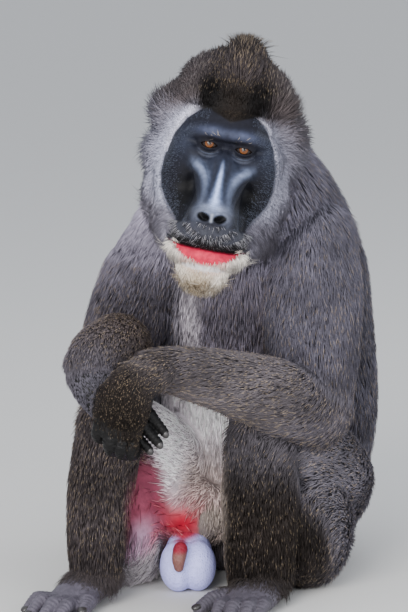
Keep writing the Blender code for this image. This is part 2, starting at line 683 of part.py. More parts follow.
def build():
    for obj in list(bpy.data.objects):
        bpy.data.objects.remove(obj)

    head = make_head()
    eyes = []
    for name, centre in zip(("eye_right", "eye_left"), EYE_CENTRES):
        eyes.append(solid(name, place([blob(centre, (EYE_RADIUS,) * 3)], HEAD_PLACE)))
    ears = [make_ear("ear_right", -1), make_ear("ear_left", 1)]
    for ear in ears:
        cut(ear, swollen(head))

    arm_left = limb("upper_arm_left", ARM_LEFT, FOREARM_LEFT, 460, (0, 0, 1))
    arm_right = limb("upper_arm_right", ARM_RIGHT, FOREARM_RIGHT, 440)
    leg_left = limb("thigh_left", LEG_LEFT, SHIN_LEFT, 460, extra=[blob(CALF_LEFT, CALF_LEFT_RADII)])
    leg_right = limb("thigh_right", LEG_RIGHT, SHIN_RIGHT, 440, extra=[blob(CALF_RIGHT, CALF_RIGHT_RADII),
                     blob(INNER_THIGH, INNER_THIGH_RADII), blob(INNER_FRINGE, INNER_FRINGE_RADII)])
    torso = lighten(fuse(solid("pelvis", [tube(TORSO, BODY_LEFT, ring=32)]), 0.006, 6), 520)

    for arm in (arm_left, arm_right):
        for other in (head, *ears):
            cut(arm, swollen(other))
    cut(arm_right, swollen(arm_left))
    for leg in (leg_left, leg_right):
        for arm in (arm_left, arm_right):
            cut(leg, swollen(arm))
        cut(leg, box((-1, -1, -1), (1, 1, 0)))
    cut(leg_right, swollen(leg_left))
    cut(torso, box((-1, -1, -1), (1, 1, 0)))
    whole_torso = duplicate(torso, "whole_torso")
    for other in (head, *ears, arm_left, arm_right, leg_left, leg_right):
        cut(torso, swollen(other))

    hand_left = extremity("hand_left", PALM_LEFT, DIGITS_LEFT, 470)
    hand_right = extremity("hand_right", PALM_RIGHT, DIGITS_RIGHT, 430)
    foot_left = extremity("foot_left", SOLE_LEFT, TOES_LEFT, 360)
    foot_right = extremity("foot_right", SOLE_RIGHT, TOES_RIGHT, 360)
    for hand in (hand_left, hand_right):
        for other in (arm_left, arm_right, leg_right, leg_left):
            cut(hand, swollen(other))
    cut(hand_right, swollen(hand_left))
    for foot, leg in ((foot_left, leg_left), (foot_right, leg_right)):
        cut(foot, box((-1, -1, -1), (1, 1, 0)))
        cut(foot, swollen(leg))

    scrotum = solid("scrotum", [blob(centre, radii) for centre, radii in SCROTUM])
    lighten(fuse(scrotum, 0.0025, 4), 300)
    cut(scrotum, box((-1, -1, -1), (1, 1, 0)))
    sheath = solid("sheath", [tube(SHEATH, ring=10, steps=2, dome=2)])
    cut(sheath, swollen(scrotum))
    for obj in (scrotum, sheath):
        for other in (torso, leg_left, leg_right, foot_left, foot_right):
            cut(obj, swollen(other))
    tail = lighten(fuse(solid("tail", [tube(TAIL)]), 0.003, 3), 200)
    cut(tail, swollen(torso))

    # Thin cuts through the elbows, knees and trunk
    part_in_two(arm_left, "forearm_left", (0.121, -0.146, 0.247), (-0.735, -1.138, -0.511))
    part_in_two(arm_right, "forearm_right", (-0.138, -0.005, 0.282), (-0.355, -1.226, -0.509))
    part_in_two(leg_left, "shin_left", (0.062, -0.140, 0.190), (-0.263, -1.118, -0.507))
    part_in_two(leg_right, "shin_right", (-0.132, -0.136, 0.212), (-0.487, -1.025, -0.450))
    abdomen = part_in_two(torso, "abdomen", (0.06, 0.05, WAIST_CUT_Z), (0, 0, 1))
    chest = part_in_two(abdomen, "chest", (0.06, 0.05, CHEST_CUT_Z), (0, 0, 1))
    neck = part_in_two(chest, "neck", (0.045, 0.0, NECK_CUT_Z), (-0.15, -0.45, 1))

    # Locks, cut clear of every neighbour
    mantle = clear_of(neck_locks(neck), [head, *ears, chest, arm_left, arm_right])
    grow(neck, mantle)
    ruff = clear_of(head_locks(head), [whole_torso, neck, *ears, *eyes, arm_left, arm_right])
    grow(head, ruff)
    bpy.data.objects.remove(whole_torso)

    centre_on_origin()
    for obj in bpy.data.objects:
        dark = obj.name.startswith(("hand", "foot", "ear"))
        pale = {"scrotum": (0.55, 0.50, 0.66), "sheath": (0.50, 0.16, 0.14), "eye_left": (0.35, 0.13, 0.03),
                "eye_right": (0.35, 0.13, 0.03)}
        paint(obj, pale.get(obj.name, (0.035, 0.034, 0.038) if dark else (0.10, 0.092, 0.092)), 0.7)


build()
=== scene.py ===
"""Looks of the seated drill monkey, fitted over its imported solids.

The skin repeats the part's forms less the coat's depth; tufts of solid mesh lie over it.
"""

import math

import bmesh
import bpy
import numpy as np
from mathutils import Matrix, Vector


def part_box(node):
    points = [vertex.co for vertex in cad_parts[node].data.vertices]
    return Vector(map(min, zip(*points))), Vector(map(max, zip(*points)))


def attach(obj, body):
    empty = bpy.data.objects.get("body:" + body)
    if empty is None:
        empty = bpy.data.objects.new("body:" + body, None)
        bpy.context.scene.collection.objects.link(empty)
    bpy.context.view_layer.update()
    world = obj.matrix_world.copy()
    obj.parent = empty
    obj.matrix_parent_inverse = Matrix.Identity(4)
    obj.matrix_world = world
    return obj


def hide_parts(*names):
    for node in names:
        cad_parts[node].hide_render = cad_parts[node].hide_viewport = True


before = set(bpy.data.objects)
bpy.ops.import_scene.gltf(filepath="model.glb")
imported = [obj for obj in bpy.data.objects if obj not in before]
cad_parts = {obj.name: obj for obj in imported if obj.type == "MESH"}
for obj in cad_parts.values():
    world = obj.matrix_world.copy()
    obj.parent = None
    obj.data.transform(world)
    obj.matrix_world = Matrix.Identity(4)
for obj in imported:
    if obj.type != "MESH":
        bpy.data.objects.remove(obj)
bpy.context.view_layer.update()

# Driving sizes, as in the part
BODY_TURN = math.radians(25)
HEAD_ROLL = math.radians(10.5)
HEAD_YAW = math.radians(-3)
VIEW_DROP = math.radians(10)
EYE_MIDPOINT = Vector((0.007, -0.170, 0.576))
EYE_RADIUS = 0.0118
EYE_CENTRES = [(-0.0218, 0.0065, 0.0), (0.0218, 0.0065, 0.0)]
# Skin and hair end this far above the floor
REST_Z = 0.0012

BODY_LEFT = (math.cos(BODY_TURN), -math.sin(BODY_TURN), 0)
HEAD_PLACE = (
    Matrix.Translation(EYE_MIDPOINT)
    @ Matrix.Rotation(HEAD_YAW, 4, "Z")
    @ Matrix.Rotation(HEAD_ROLL, 4, "Y")
)

# Each station of a tube is its centre, its half width along the side vector and its half depth
TORSO = [
    (0.054, 0.044, 0.030, 0.112, 0.110),
    (0.055, 0.051, 0.100, 0.139, 0.128),
    (0.059, 0.057, 0.200, 0.155, 0.132),
    (0.057, 0.055, 0.300, 0.152, 0.136),
    (0.058, 0.044, 0.390, 0.138, 0.132),
    (0.052, 0.028, 0.460, 0.116, 0.112),
    (0.040, -0.010, 0.520, 0.086, 0.086),
    (0.026, -0.055, 0.562, 0.060, 0.060),
]
ARM_LEFT = [
    (0.112, -0.010, 0.440, 0.064, 0.062),
    (0.118, -0.062, 0.380, 0.066, 0.062),
    (0.118, -0.110, 0.310, 0.062, 0.056),
    (0.120, -0.146, 0.248, 0.050, 0.048),
]
FOREARM_LEFT = [
    (0.122, -0.146, 0.246, 0.049, 0.048),
    (0.062, -0.190, 0.270, 0.046, 0.044),
    (0.005, -0.225, 0.292, 0.039, 0.038),
    (-0.048, -0.252, 0.309, 0.032, 0.029),
    (-0.084, -0.272, 0.313, 0.029, 0.024),
]
ARM_RIGHT = [
    (-0.056, 0.048, 0.440, 0.062, 0.060),
    (-0.092, 0.036, 0.385, 0.062, 0.058),
    (-0.122, 0.016, 0.322, 0.057, 0.052),
    (-0.138, -0.006, 0.282, 0.048, 0.045),
]
FOREARM_RIGHT = [
    (-0.138, -0.004, 0.282, 0.048, 0.045),
    (-0.132, -0.070, 0.306, 0.045, 0.043),
    (-0.136, -0.140, 0.322, 0.041, 0.039),
    (-0.152, -0.200, 0.326, 0.037, 0.033),
    (-0.165, -0.236, 0.314, 0.034, 0.028),
]
LEG_LEFT = [
    (0.118, 0.046, 0.094, 0.080, 0.084),
    (0.116, -0.020, 0.126, 0.086, 0.086),
    (0.092, -0.090, 0.174, 0.072, 0.070),
    (0.060, -0.146, 0.196, 0.054, 0.052),
]
SHIN_LEFT = [
    (0.058, -0.148, 0.198, 0.052, 0.050),
    (0.051, -0.166, 0.135, 0.053, 0.050),
    (0.050, -0.180, 0.080, 0.050, 0.048),
    (0.050, -0.188, 0.040, 0.047, 0.041),
]
CALF_LEFT = (0.106, -0.104, 0.080)
CALF_LEFT_RADII = (0.068, 0.078, 0.090)
LEG_RIGHT = [
    (-0.044, 0.050, 0.092, 0.070, 0.080),
    (-0.072, -0.014, 0.126, 0.074, 0.080),
    (-0.108, -0.080, 0.182, 0.062, 0.064),
    (-0.134, -0.136, 0.220, 0.048, 0.048),
]
SHIN_RIGHT = [
    (-0.136, -0.144, 0.220, 0.048, 0.047),
    (-0.150, -0.162, 0.150, 0.046, 0.045),
    (-0.156, -0.180, 0.085, 0.042, 0.042),
    (-0.158, -0.190, 0.042, 0.036, 0.035),
]
CALF_RIGHT = (-0.112, -0.100, 0.080)
CALF_RIGHT_RADII = (0.046, 0.062, 0.086)
INNER_THIGH = (-0.088, -0.070, 0.105)
INNER_THIGH_RADII = (0.046, 0.060, 0.068)
INNER_FRINGE = (-0.104, -0.078, 0.038)
INNER_FRINGE_RADII = (0.038, 0.050, 0.046)
CROTCH = (-0.032, -0.074, 0.088)
CROTCH_RADII = (0.052, 0.052, 0.040)
TAIL = [
    (0.096, 0.130, 0.108, 0.024, 0.024),
    (0.112, 0.166, 0.122, 0.021, 0.021),
    (0.124, 0.192, 0.146, 0.017, 0.017),
    (0.130, 0.204, 0.170, 0.010, 0.010),
]

SCROTUM = [
    ((-0.054, -0.142, 0.033), (0.024, 0.029, 0.034)),
    ((-0.029, -0.138, 0.032), (0.024, 0.029, 0.033)),
    ((-0.041, -0.108, 0.040), (0.031, 0.036, 0.034)),
]
SHEATH = [
    (-0.048, -0.148, 0.068, 0.0075, 0.0075),
    (-0.051, -0.167, 0.061, 0.0080, 0.0080),
    (-0.053, -0.174, 0.050, 0.0074, 0.0074),
    (-0.053, -0.174, 0.039, 0.0048, 0.0048),
]

# Hands: the palm as a tube, then each digit by its joints (x, y, z, radius)
PALM_LEFT = [
    (-0.074, -0.270, 0.314, 0.026, 0.021),
    (-0.106, -0.292, 0.298, 0.033, 0.022),
    (-0.120, -0.304, 0.268, 0.036, 0.019),
    (-0.124, -0.305, 0.250, 0.033, 0.014),
]
DIGITS_LEFT = [
    [(-0.146, -0.302, 0.262, 0.0080), (-0.151, -0.298, 0.240, 0.0074), (-0.147, -0.272, 0.229, 0.0068),
     (-0.141, -0.254, 0.240, 0.0058)],
    [(-0.132, -0.305, 0.256, 0.0086), (-0.136, -0.303, 0.227, 0.0080), (-0.133, -0.275, 0.214, 0.0072),
     (-0.128, -0.256, 0.226, 0.0060)],
    [(-0.118, -0.305, 0.252, 0.0086), (-0.122, -0.303, 0.222, 0.0080), (-0.119, -0.276, 0.210, 0.0072),
     (-0.114, -0.258, 0.221, 0.0060)],
    [(-0.103, -0.303, 0.250, 0.0078), (-0.109, -0.301, 0.219, 0.0072), (-0.107, -0.278, 0.209, 0.0066),
     (-0.102, -0.262, 0.218, 0.0056)],
    [(-0.122, -0.286, 0.300, 0.0105), (-0.146, -0.290, 0.288, 0.0090), (-0.153, -0.290, 0.270, 0.0068)],
]
PALM_RIGHT = [
    (-0.165, -0.232, 0.312, 0.030, 0.024),
    (-0.157, -0.254, 0.294, 0.033, 0.020),
    (-0.134, -0.262, 0.272, 0.034, 0.017),
    (-0.122, -0.262, 0.258, 0.031, 0.014),
]
DIGITS_RIGHT = [
    [(-0.106, -0.262, 0.276, 0.0078), (-0.088, -0.270, 0.258, 0.0074), (-0.070, -0.272, 0.236, 0.0062)],
    [(-0.116, -0.263, 0.266, 0.0080), (-0.095, -0.273, 0.243, 0.0076), (-0.077, -0.276, 0.223, 0.0062)],
    [(-0.126, -0.263, 0.254, 0.0078), (-0.106, -0.268, 0.232, 0.0072), (-0.089, -0.270, 0.214, 0.0060)],
    [(-0.140, -0.262, 0.246, 0.0074), (-0.126, -0.262, 0.222, 0.0068), (-0.112, -0.258, 0.203, 0.0056)],
    [(-0.130, -0.248, 0.292, 0.0095), (-0.108, -0.244, 0.286, 0.0080), (-0.092, -0.244, 0.272, 0.0062)],
]

# Feet: the sole as a tube from the heel, then each toe; the great toe comes last
SOLE_LEFT = [
    (0.066, -0.150, 0.024, 0.025, 0.025),
    (0.058, -0.185, 0.026, 0.030, 0.027),
    (0.042, -0.228, 0.017, 0.036, 0.018),
    (0.032, -0.252, 0.013, 0.035, 0.014),
]
TOES_LEFT = [
    [(0.056, -0.248, 0.013, 0.0092), (0.052, -0.273, 0.016, 0.0088), (0.047, -0.294, 0.007, 0.0074)],
    [(0.040, -0.254, 0.013, 0.0096), (0.034, -0.285, 0.017, 0.0090), (0.028, -0.308, 0.007, 0.0076)],
    [(0.024, -0.254, 0.013, 0.0096), (0.015, -0.285, 0.017, 0.0090), (0.009, -0.308, 0.007, 0.0076)],
    [(0.009, -0.248, 0.013, 0.0090), (-0.001, -0.275, 0.016, 0.0084), (-0.007, -0.296, 0.007, 0.0071)],
    [(0.016, -0.218, 0.015, 0.0120), (-0.010, -0.240, 0.014, 0.0108), (-0.027, -0.259, 0.008, 0.0088)],
]
SOLE_RIGHT = [
    (-0.142, -0.160, 0.024, 0.024, 0.024),
    (-0.158, -0.190, 0.026, 0.029, 0.026),
    (-0.178, -0.222, 0.018, 0.033, 0.018),
    (-0.190, -0.242, 0.013, 0.032, 0.014),
]
TOES_RIGHT = [
    [(-0.211, -0.230, 0.013, 0.0090), (-0.229, -0.246, 0.018, 0.0085), (-0.241, -0.261, 0.008, 0.0071)],
    [(-0.203, -0.242, 0.013, 0.0094), (-0.223, -0.264, 0.019, 0.0088), (-0.236, -0.282, 0.008, 0.0074)],
    [(-0.191, -0.248, 0.013, 0.0094), (-0.208, -0.276, 0.019, 0.0088), (-0.220, -0.296, 0.008, 0.0074)],
    [(-0.178, -0.248, 0.013, 0.0088), (-0.191, -0.277, 0.017, 0.0082), (-0.201, -0.296, 0.008, 0.0069)],
    [(-0.160, -0.222, 0.015, 0.0120), (-0.166, -0.253, 0.015, 0.0106), (-0.171, -0.277, 0.009, 0.0088)],
]


def catmull(rows, steps):
    """A smooth run of rows through the given ones, with `steps` to a span."""
    rows = np.asarray(rows, float)
    ends = np.vstack([2 * rows[0] - rows[1], rows, 2 * rows[-1] - rows[-2]])
    t = np.linspace(0, 1, steps, endpoint=False)[:, None]
    out = []
    for i in range(len(rows) - 1):
        a, b, c, d = ends[i : i + 4]
        out.append(0.5 * (2 * b + (c - a) * t + (2 * a - 5 * b + 4 * c - d) * t**2
                          + (3 * b - a - 3 * c + d) * t**3))
    out.append(rows[-1:])
    return np.vstack(out)


def tube(stations, side=(1, 0, 0), ring=20, steps=5, dome=4):
    """A closed tube with domed ends through stations of (x, y, z, half width, half depth)."""
    rows = catmull(stations, steps)
    centres, radii = rows[:, :3], rows[:, 3:5]
    tangents = np.gradient(centres, axis=0)
    tangents /= np.linalg.norm(tangents, axis=1)[:, None]
    swell = np.linspace(0, math.pi / 2, dome + 1)[1:-1]
    start = [(centres[0] - tangents[0] * radii[0].mean() * math.sin(a), tangents[0],
              radii[0] * math.cos(a)) for a in swell[::-1]]
    finish = [(centres[-1] + tangents[-1] * radii[-1].mean() * math.sin(a), tangents[-1],
               radii[-1] * math.cos(a)) for a in swell]
    rings = start + list(zip(centres, tangents, radii)) + finish
    angles = np.linspace(0, 2 * math.pi, ring, endpoint=False)
    side = np.asarray(side, float)
    points = []
    for centre, tangent, radius in rings:
        across = side - tangent * (side @ tangent)
        across /= np.linalg.norm(across)
        up = np.cross(tangent, across)
        points.append(centre + radius[0] * np.cos(angles)[:, None] * across
                      + radius[1] * np.sin(angles)[:, None] * up)
    points.append([centres[0] - tangents[0] * radii[0].mean(),
                   centres[-1] + tangents[-1] * radii[-1].mean()])
    points = np.vstack(points)
    faces = []
    for i in range(len(rings) - 1):
        for j in range(ring):
            k = (j + 1) % ring
            faces.append((i * ring + j, i * ring + k, (i + 1) * ring + k, (i + 1) * ring + j))
    first, last, base = len(points) - 2, len(points) - 1, (len(rings) - 1) * ring
    for j in range(ring):
        k = (j + 1) % ring
        faces.append((first, k, j))
        faces.append((last, base + j, base + k))
    return points, faces


def digit(joints, ring=10):
    """A finger or toe through joints of (x, y, z, radius)."""
    stations = [(x, y, z, r, r) for x, y, z, r in joints]
    return tube(stations, side=(0.31, 0.17, 0.93), ring=ring, steps=4, dome=3)


def blob(centre, radii, turn=None, divisions=3):
    """An ellipsoid."""
    bm = bmesh.new()
    bmesh.ops.create_icosphere(bm, subdivisions=divisions, radius=1)
    points = np.array([v.co for v in bm.verts]) * np.asarray(radii)
    faces = [[v.index for v in f.verts] for f in bm.faces]
    bm.free()
    if turn is not None:
        points = points @ np.array(turn.to_3x3()).T
    return points + np.asarray(centre), faces


def both(piece):
    """The piece and its mirror image on the other side of the head, whose middle is x = 0."""
    points, faces = piece
    return [piece, (points * (-1, 1, 1), [tuple(reversed(f)) for f in faces])]


def place(pieces, matrix):
    turn, shift = np.array(matrix.to_3x3()), np.array(matrix.translation)
    return [(points @ turn.T + shift, faces) for points, faces in pieces]


def solid(name, pieces):
    """One object that holds the pieces as they are, each facing out."""
    points = np.vstack([p for p, _ in pieces])
    starts = np.cumsum([0] + [len(p) for p, _ in pieces])
    faces = [tuple(int(i + s) for i in f) for s, (_, fs) in zip(starts, pieces) for f in fs]
    mesh = bpy.data.meshes.new(name)
    mesh.from_pydata(points.tolist(), [], faces)
    bm = bmesh.new()
    bm.from_mesh(mesh)
    bmesh.ops.recalc_face_normals(bm, faces=bm.faces)
    bm.to_mesh(mesh)
    bm.free()
    obj = bpy.data.objects.new(name, mesh)
    bpy.context.scene.collection.objects.link(obj)
    return obj


def settle(obj):
    """Applies the object's modifiers."""
    bpy.context.view_layer.update()
    graph = bpy.context.evaluated_depsgraph_get()
    mesh = bpy.data.meshes.new_from_object(obj.evaluated_get(graph))
    obj.modifiers.clear()
    obj.data = mesh
    return obj


def fuse(obj, voxel, rounds):
    """Melts the object's pieces into one skin and smooths the joins."""
    remesh = obj.modifiers.new("fuse", "REMESH")
    remesh.mode, remesh.voxel_size = "VOXEL", voxel
    smooth = obj.modifiers.new("smooth", "SMOOTH")
    smooth.factor, smooth.iterations = 0.5, rounds
    return settle(obj)


def relax(obj, share, rounds):
    """Smooths the skin more where the share says, and leaves the rest."""
    points = vertices(obj)
    ends = np.empty(len(obj.data.edges) * 2, np.int32)
    obj.data.edges.foreach_get("vertices", ends)
    a, b = ends.reshape(-1, 2).T
    count = len(points)
    around = (np.bincount(a, minlength=count) + np.bincount(b, minlength=count))[:, None]
    for _ in range(rounds):
        total = [np.bincount(a, points[b, k], count) + np.bincount(b, points[a, k], count) for k in range(3)]
        points = points + share[:, None] * (np.stack(total, axis=1) / around - points)
    set_vertices(obj, points)


def cut(obj, cutter):
    mod = obj.modifiers.new("cut", "BOOLEAN")
    mod.operation, mod.object, mod.solver = "DIFFERENCE", cutter, "EXACT"
    settle(obj)
    bpy.data.objects.remove(cutter)


def floor_cut(obj):
    """Takes away what would reach into the floor and closes the flat."""
    bm = bmesh.new()
    bm.from_mesh(obj.data)
    geom = bm.verts[:] + bm.edges[:] + bm.faces[:]
    bmesh.ops.bisect_plane(bm, geom=geom, plane_co=(0, 0, REST_Z), plane_no=(0, 0, -1), clear_outer=True)
    rim = [e for e in bm.edges if e.is_boundary]
    bmesh.ops.holes_fill(bm, edges=rim, sides=0)
    bm.to_mesh(obj.data)
    bm.free()
    return obj


def thinner(stations, by):
    """The same tube less the depth of its coat."""
    return [(x, y, z, w - by, d - by) for x, y, z, w, d in stations]


def slimmer(radii, by):
    """The radii of a blob less the depth of its coat."""
    return [r - by for r in radii]


def vertices(obj, what="co"):
    flat = np.empty(len(obj.data.vertices) * 3)
    obj.data.vertices.foreach_get(what, flat)
    return flat.reshape(-1, 3)


def vertex_normals(obj):
    return vertices(obj, "normal")


def set_vertices(obj, points):
    obj.data.vertices.foreach_set("co", np.ascontiguousarray(points).ravel())
    obj.data.update()


def to_head(points):
    """World points of the design in the head's own frame."""
    back = np.array(HEAD_PLACE.inverted())
    return points @ back[:3, :3].T + back[:3, 3]


def face_plane(p):
    """Head points as seen from the front, in millimetres from the eyes' middle: across and up."""
    return np.stack([p[:, 0], math.cos(VIEW_DROP) * p[:, 2] + math.sin(VIEW_DROP) * p[:, 1]], axis=1) * 1000


def near_path(points, path):
    """Each point's distance to a line through the path, and how far along it the nearest spot is."""
    path = catmull(path, 6)
    best = np.full(len(points), 999.0)
    along = np.zeros(len(points))
    for i in range(len(path) - 1):
        a, step = path[i], path[i + 1] - path[i]
        t = np.clip(((points - a) @ step) / (step @ step), 0, 1)
        d = np.linalg.norm(points - a - t[:, None] * step, axis=1)
        closer = d < best
        best[closer] = d[closer]
        along[closer] = (i + t[closer]) / (len(path) - 1)
    return best, along


def bell(d, radius):
    return np.exp(-((d / radius) ** 2))


def smoothstep(low, high, x):
    t = np.clip((x - low) / (high - low), 0, 1)
    return t * t * (3 - 2 * t)


def blend(base, colour, weight):
    return base + (np.asarray(colour) - base) * np.clip(weight, 0, 1)[:, None]


def layered(colour, layers):
    """The colour with each layer's tone laid over it by its weight."""
    for tone, weight in layers:
        colour = blend(colour, tone, weight)
    return colour


def tiled(tone, obj):
    """One tone for every vertex of the object."""
    return np.tile(tone, (len(obj.data.vertices), 1))


def mirrored(q):
    """Places on the face with both its sides laid over each other."""
    return np.stack([np.abs(q[:, 0]), q[:, 1]], axis=1)


def lowered(path, drop):
    return [(x, y - drop) for x, y in path]


def spot(q, centre, half):
    """1 at the middle of an oval on the face, falling off smoothly."""
    return bell(np.linalg.norm((q - centre) / half, axis=1), 1.0)


# Lines of the face, in millimetres across and up from the eyes' middle, for its relief and its colour
MOUTH = [(-43, -126), (-31, -128.5), (-16, -129.5), (0, -130), (16, -129.5), (31, -128.5), (43, -126)]
RIDGE = [(37, -25), (26, -31), (18, -43), (15.5, -57), (18, -76)]
MIDLINE = [(0, -12), (0, -34), (0, -56), (0, -78)]
GROOVE = [(9.5, -20), (8.5, -38), (7.5, -56), (7, -70)]
HOLLOW = [(40, -38), (31, -52), (27, -68), (26, -84)]
UNDER_LID = [(9, -6.5), (15, -9.6), (22, -10.4), (29, -9.2), (35, -5.5)]
CHEEK_FOLD = [(11, -13), (18, -16.5), (26, -17.0), (35, -13)]
TEMPLE_RIGHT = [(-36, 47), (-50, 34), (-63, 14), (-72, -8)]
TEMPLE_LEFT = [(38, 42), (47, 31), (54, 16), (60, 0)]
NOSTRIL, NOSTRIL_HALF = (10.6, -91.5), (8.2, 5.6)
NOSTRIL_LEAN = math.radians(14)
LIP_DEPTH = 20.5
LIP_HALF = 44

# The bare mask's outline: half its width at each height
MASK_UP = [-129, -113, -98, -89, -75, -62, -45, -20, 8, 28, 41, 43]
MASK_HALF = [43, 44, 44, 49.5, 60, 67, 71, 70, 62.5, 51, 35, 0.1]

# Strokes pressed into the face: path, half width, height (below 0 goes in), share that fades at each end
STROKES = [
    (RIDGE, 5.5, 3.4, 0.3),
    (GROOVE, 3.0, -2.8, 0.25),
    (HOLLOW, 9.0, -5.0, 0.25),
    (MIDLINE, 3.6, 2.6, 0.15),
    ([(4.6, -30), (4.2, -48), (4.0, -66)], 0.9, -0.7, 0.15),
    ([(11.5, -30), (10.2, -48), (9.5, -62)], 0.9, -0.7, 0.15),
    (UNDER_LID, 1.7, -1.7, 0.2),
    (lowered(UNDER_LID, 3.4), 1.9, 1.1, 0.2),
    (CHEEK_FOLD, 2.0, -1.3, 0.25),
    ([(6, 4), (4.5, -3), (4.0, -10)], 1.6, -1.2, 0.3),
    *((lowered([(0, -72.5), (5, -71.5), (10, -69.5)], 2.6 * i), 0.8, -0.9, 0.1) for i in range(4)),
    ([(0, -84), (0, -99)], 1.8, 1.2, 0.2),
    ([(0, -101), (0, -118)], 1.2, -1.2, 0.2),
]
NOSTRIL_RIM, NOSTRIL_DEPTH = 0.0014, 0.0085
MOUTH_GAP, LIP_SWELL = 0.0060, 0.0026

# The opening between the lids: half sizes, how far it lies below the eye's middle and how deep it is cut
LID_HALF_WIDTH, LID_HALF_HEIGHT = 0.0108, 0.0042
LID_DROP, LID_CUT = 0.0005, 0.04
EYE_GAP = 0.0002

# Painted highlights and a painted shade line along the folds under the lid: how far each lies below UNDER_LID,
# its tone and strength
LID_FOLDS = [
    (1.8, (0.130, 0.148, 0.205), 0.6),
    (0, (0.004, 0.004, 0.006), 0.8),
    (5.2, (0.085, 0.096, 0.135), 0.5),
]

# Ovals of the face where the fused head is smoothed more: middle and half sizes
SOFT_PLACES = [((50, -60), (20, 34)), ((0, 44), (44, 15)), ((0, -150), (46, 10)), ((74, -20), (14, 50))]


def arch(half, middle=()):
    """A tube across the head: one side's stations from the outside in, the middle one and their mirror image."""
    far_side = [(-x, *rest) for x, *rest in half]
    return tube([*far_side, *middle, *half[::-1]], side=(0, 0, 1))


def head_pieces():
    """Skull, muzzle, jaw and the flesh under the ruff and crest, in the head's own frame."""
    skull = blob((0, 0.062, 0.016), (0.050, 0.066, 0.046))
    brow = arch([(0.044, 0.016, 0.010, 0.0105, 0.0105), (0.026, -0.002, 0.0165, 0.0110, 0.0100)],
                [(0, -0.004, 0.0165, 0.0100, 0.0095)])
    forehead = arch([(0.040, 0.024, 0.024, 0.012, 0.012), (0.022, 0.010, 0.030, 0.012, 0.012)])
    muzzle = tube([(0, 0.020, -0.034, 0.034, 0.036), (0, -0.012, -0.060, 0.030, 0.034),
                   (0, -0.042, -0.082, 0.032, 0.032), (0, -0.062, -0.094, 0.036, 0.027)], ring=32)
    jaw = tube([(0, 0.030, -0.070, 0.040, 0.036), (0, -0.010, -0.092, 0.037, 0.034),
                (0, -0.046, -0.112, 0.037, 0.026)], ring=32)
    nose = blob((0, -0.080, -0.083), (0.0205, 0.014, 0.013))
    chin = blob((0, -0.050, -0.137), (0.037, 0.031, 0.029))
    lower_lip = arch([(0.044, 0.020, -0.085, 0.020, 0.022), (0.038, -0.034, -0.122, 0.014, 0.016)],
                     [(0, -0.070, -0.129, 0.012, 0.012)])
    upper_lip = arch([(0.042, -0.036, -0.106, 0.011, 0.010), (0.030, -0.068, -0.105, 0.011, 0.010)],
                     [(0, -0.080, -0.104, 0.011, 0.010)])
    ruff_and_crest = [
        blob((0, 0.072, -0.012), (0.086, 0.050, 0.076)),
        blob((-0.026, 0.079, -0.036), (0.069, 0.046, 0.071)),
        blob((-0.012, 0.069, 0.022), (0.078, 0.054, 0.066)),
        blob((-0.005, 0.063, 0.047), (0.068, 0.055, 0.058)),
        blob((0.001, 0.061, 0.074), (0.036, 0.048, 0.037)),
    ]
    throat = blob((0, 0.020, -0.112), (0.040, 0.056, 0.026))
    lower_ruff = blob((-0.050, 0.080, -0.066), (0.042, 0.044, 0.054))
    cheek = blob((0.040, 0.030, -0.030), (0.034, 0.026, 0.052))
    zygoma = tube([(0.028, 0.002, -0.020, 0.010, 0.010), (0.046, 0.010, -0.016, 0.012, 0.010),
                   (0.062, 0.034, -0.010, 0.012, 0.010)], side=(0, 0, 1))
    ridge = tube([(0.034, -0.002, -0.026, 0.008, 0.008), (0.025, -0.024, -0.040, 0.009, 0.008),
                  (0.018, -0.050, -0.058, 0.009, 0.007), (0.018, -0.072, -0.078, 0.010, 0.007)])
    lid = blob(EYE_CENTRES[1], (0.0148, 0.0138, 0.0138))
    jowl = blob((0.045, 0.044, -0.088), (0.032, 0.050, 0.034))
    behind_cheek = blob((0.060, 0.050, -0.056), (0.024, 0.034, 0.036))
    pieces = [skull, brow, forehead, muzzle, jaw, nose, chin, lower_lip, upper_lip, *ruff_and_crest, throat,
              lower_ruff]
    for piece in (cheek, zygoma, ridge, lid, jowl, behind_cheek):
        pieces += both(piece)
    return pieces


def almond(centre, half_width, half_height, depth, corners=24):
    """A prism with the outline of the open lids, from in front of the eye back to its middle."""
    ring = []
    for i in range(corners):
        a = 2 * math.pi * i / corners
        narrowing = 1 - 0.35 * abs(math.cos(a)) ** 3
        ring.append((centre[0] + half_width * math.cos(a), centre[2] + half_height * math.sin(a) * narrowing))
    front = [(x, centre[1] - depth, z) for x, z in ring]
    back = [(x, centre[1], z) for x, z in ring]
    faces = [tuple(range(corners - 1, -1, -1)), tuple(range(corners, 2 * corners))]
    for i in range(corners):
        k = (i + 1) % corners
        faces.append((i, k, corners + k, corners + i))
    return np.array(front + back), faces


def open_eye(head, centre):
    """Cuts the opening between the lids and the hollow that the eyeball lies in."""
    middle = (centre[0], centre[1], centre[2] - LID_DROP)
    opening = almond(middle, LID_HALF_WIDTH, LID_HALF_HEIGHT, LID_CUT)
    hollow = blob(centre, (EYE_RADIUS + EYE_GAP,) * 3, divisions=4)
    for piece in (opening, hollow):
        cut(head, solid("cutter", place([piece], HEAD_PLACE)))


def nostril_reach(q):
    """Below 1 inside either nostril as seen from the front."""
    off = mirrored(q) - NOSTRIL
    along = off[:, 0] * math.cos(NOSTRIL_LEAN) + off[:, 1] * math.sin(NOSTRIL_LEAN)
    across = off[:, 1] * math.cos(NOSTRIL_LEAN) - off[:, 0] * math.sin(NOSTRIL_LEAN)
    return np.hypot(along / NOSTRIL_HALF[0], across / NOSTRIL_HALF[1])


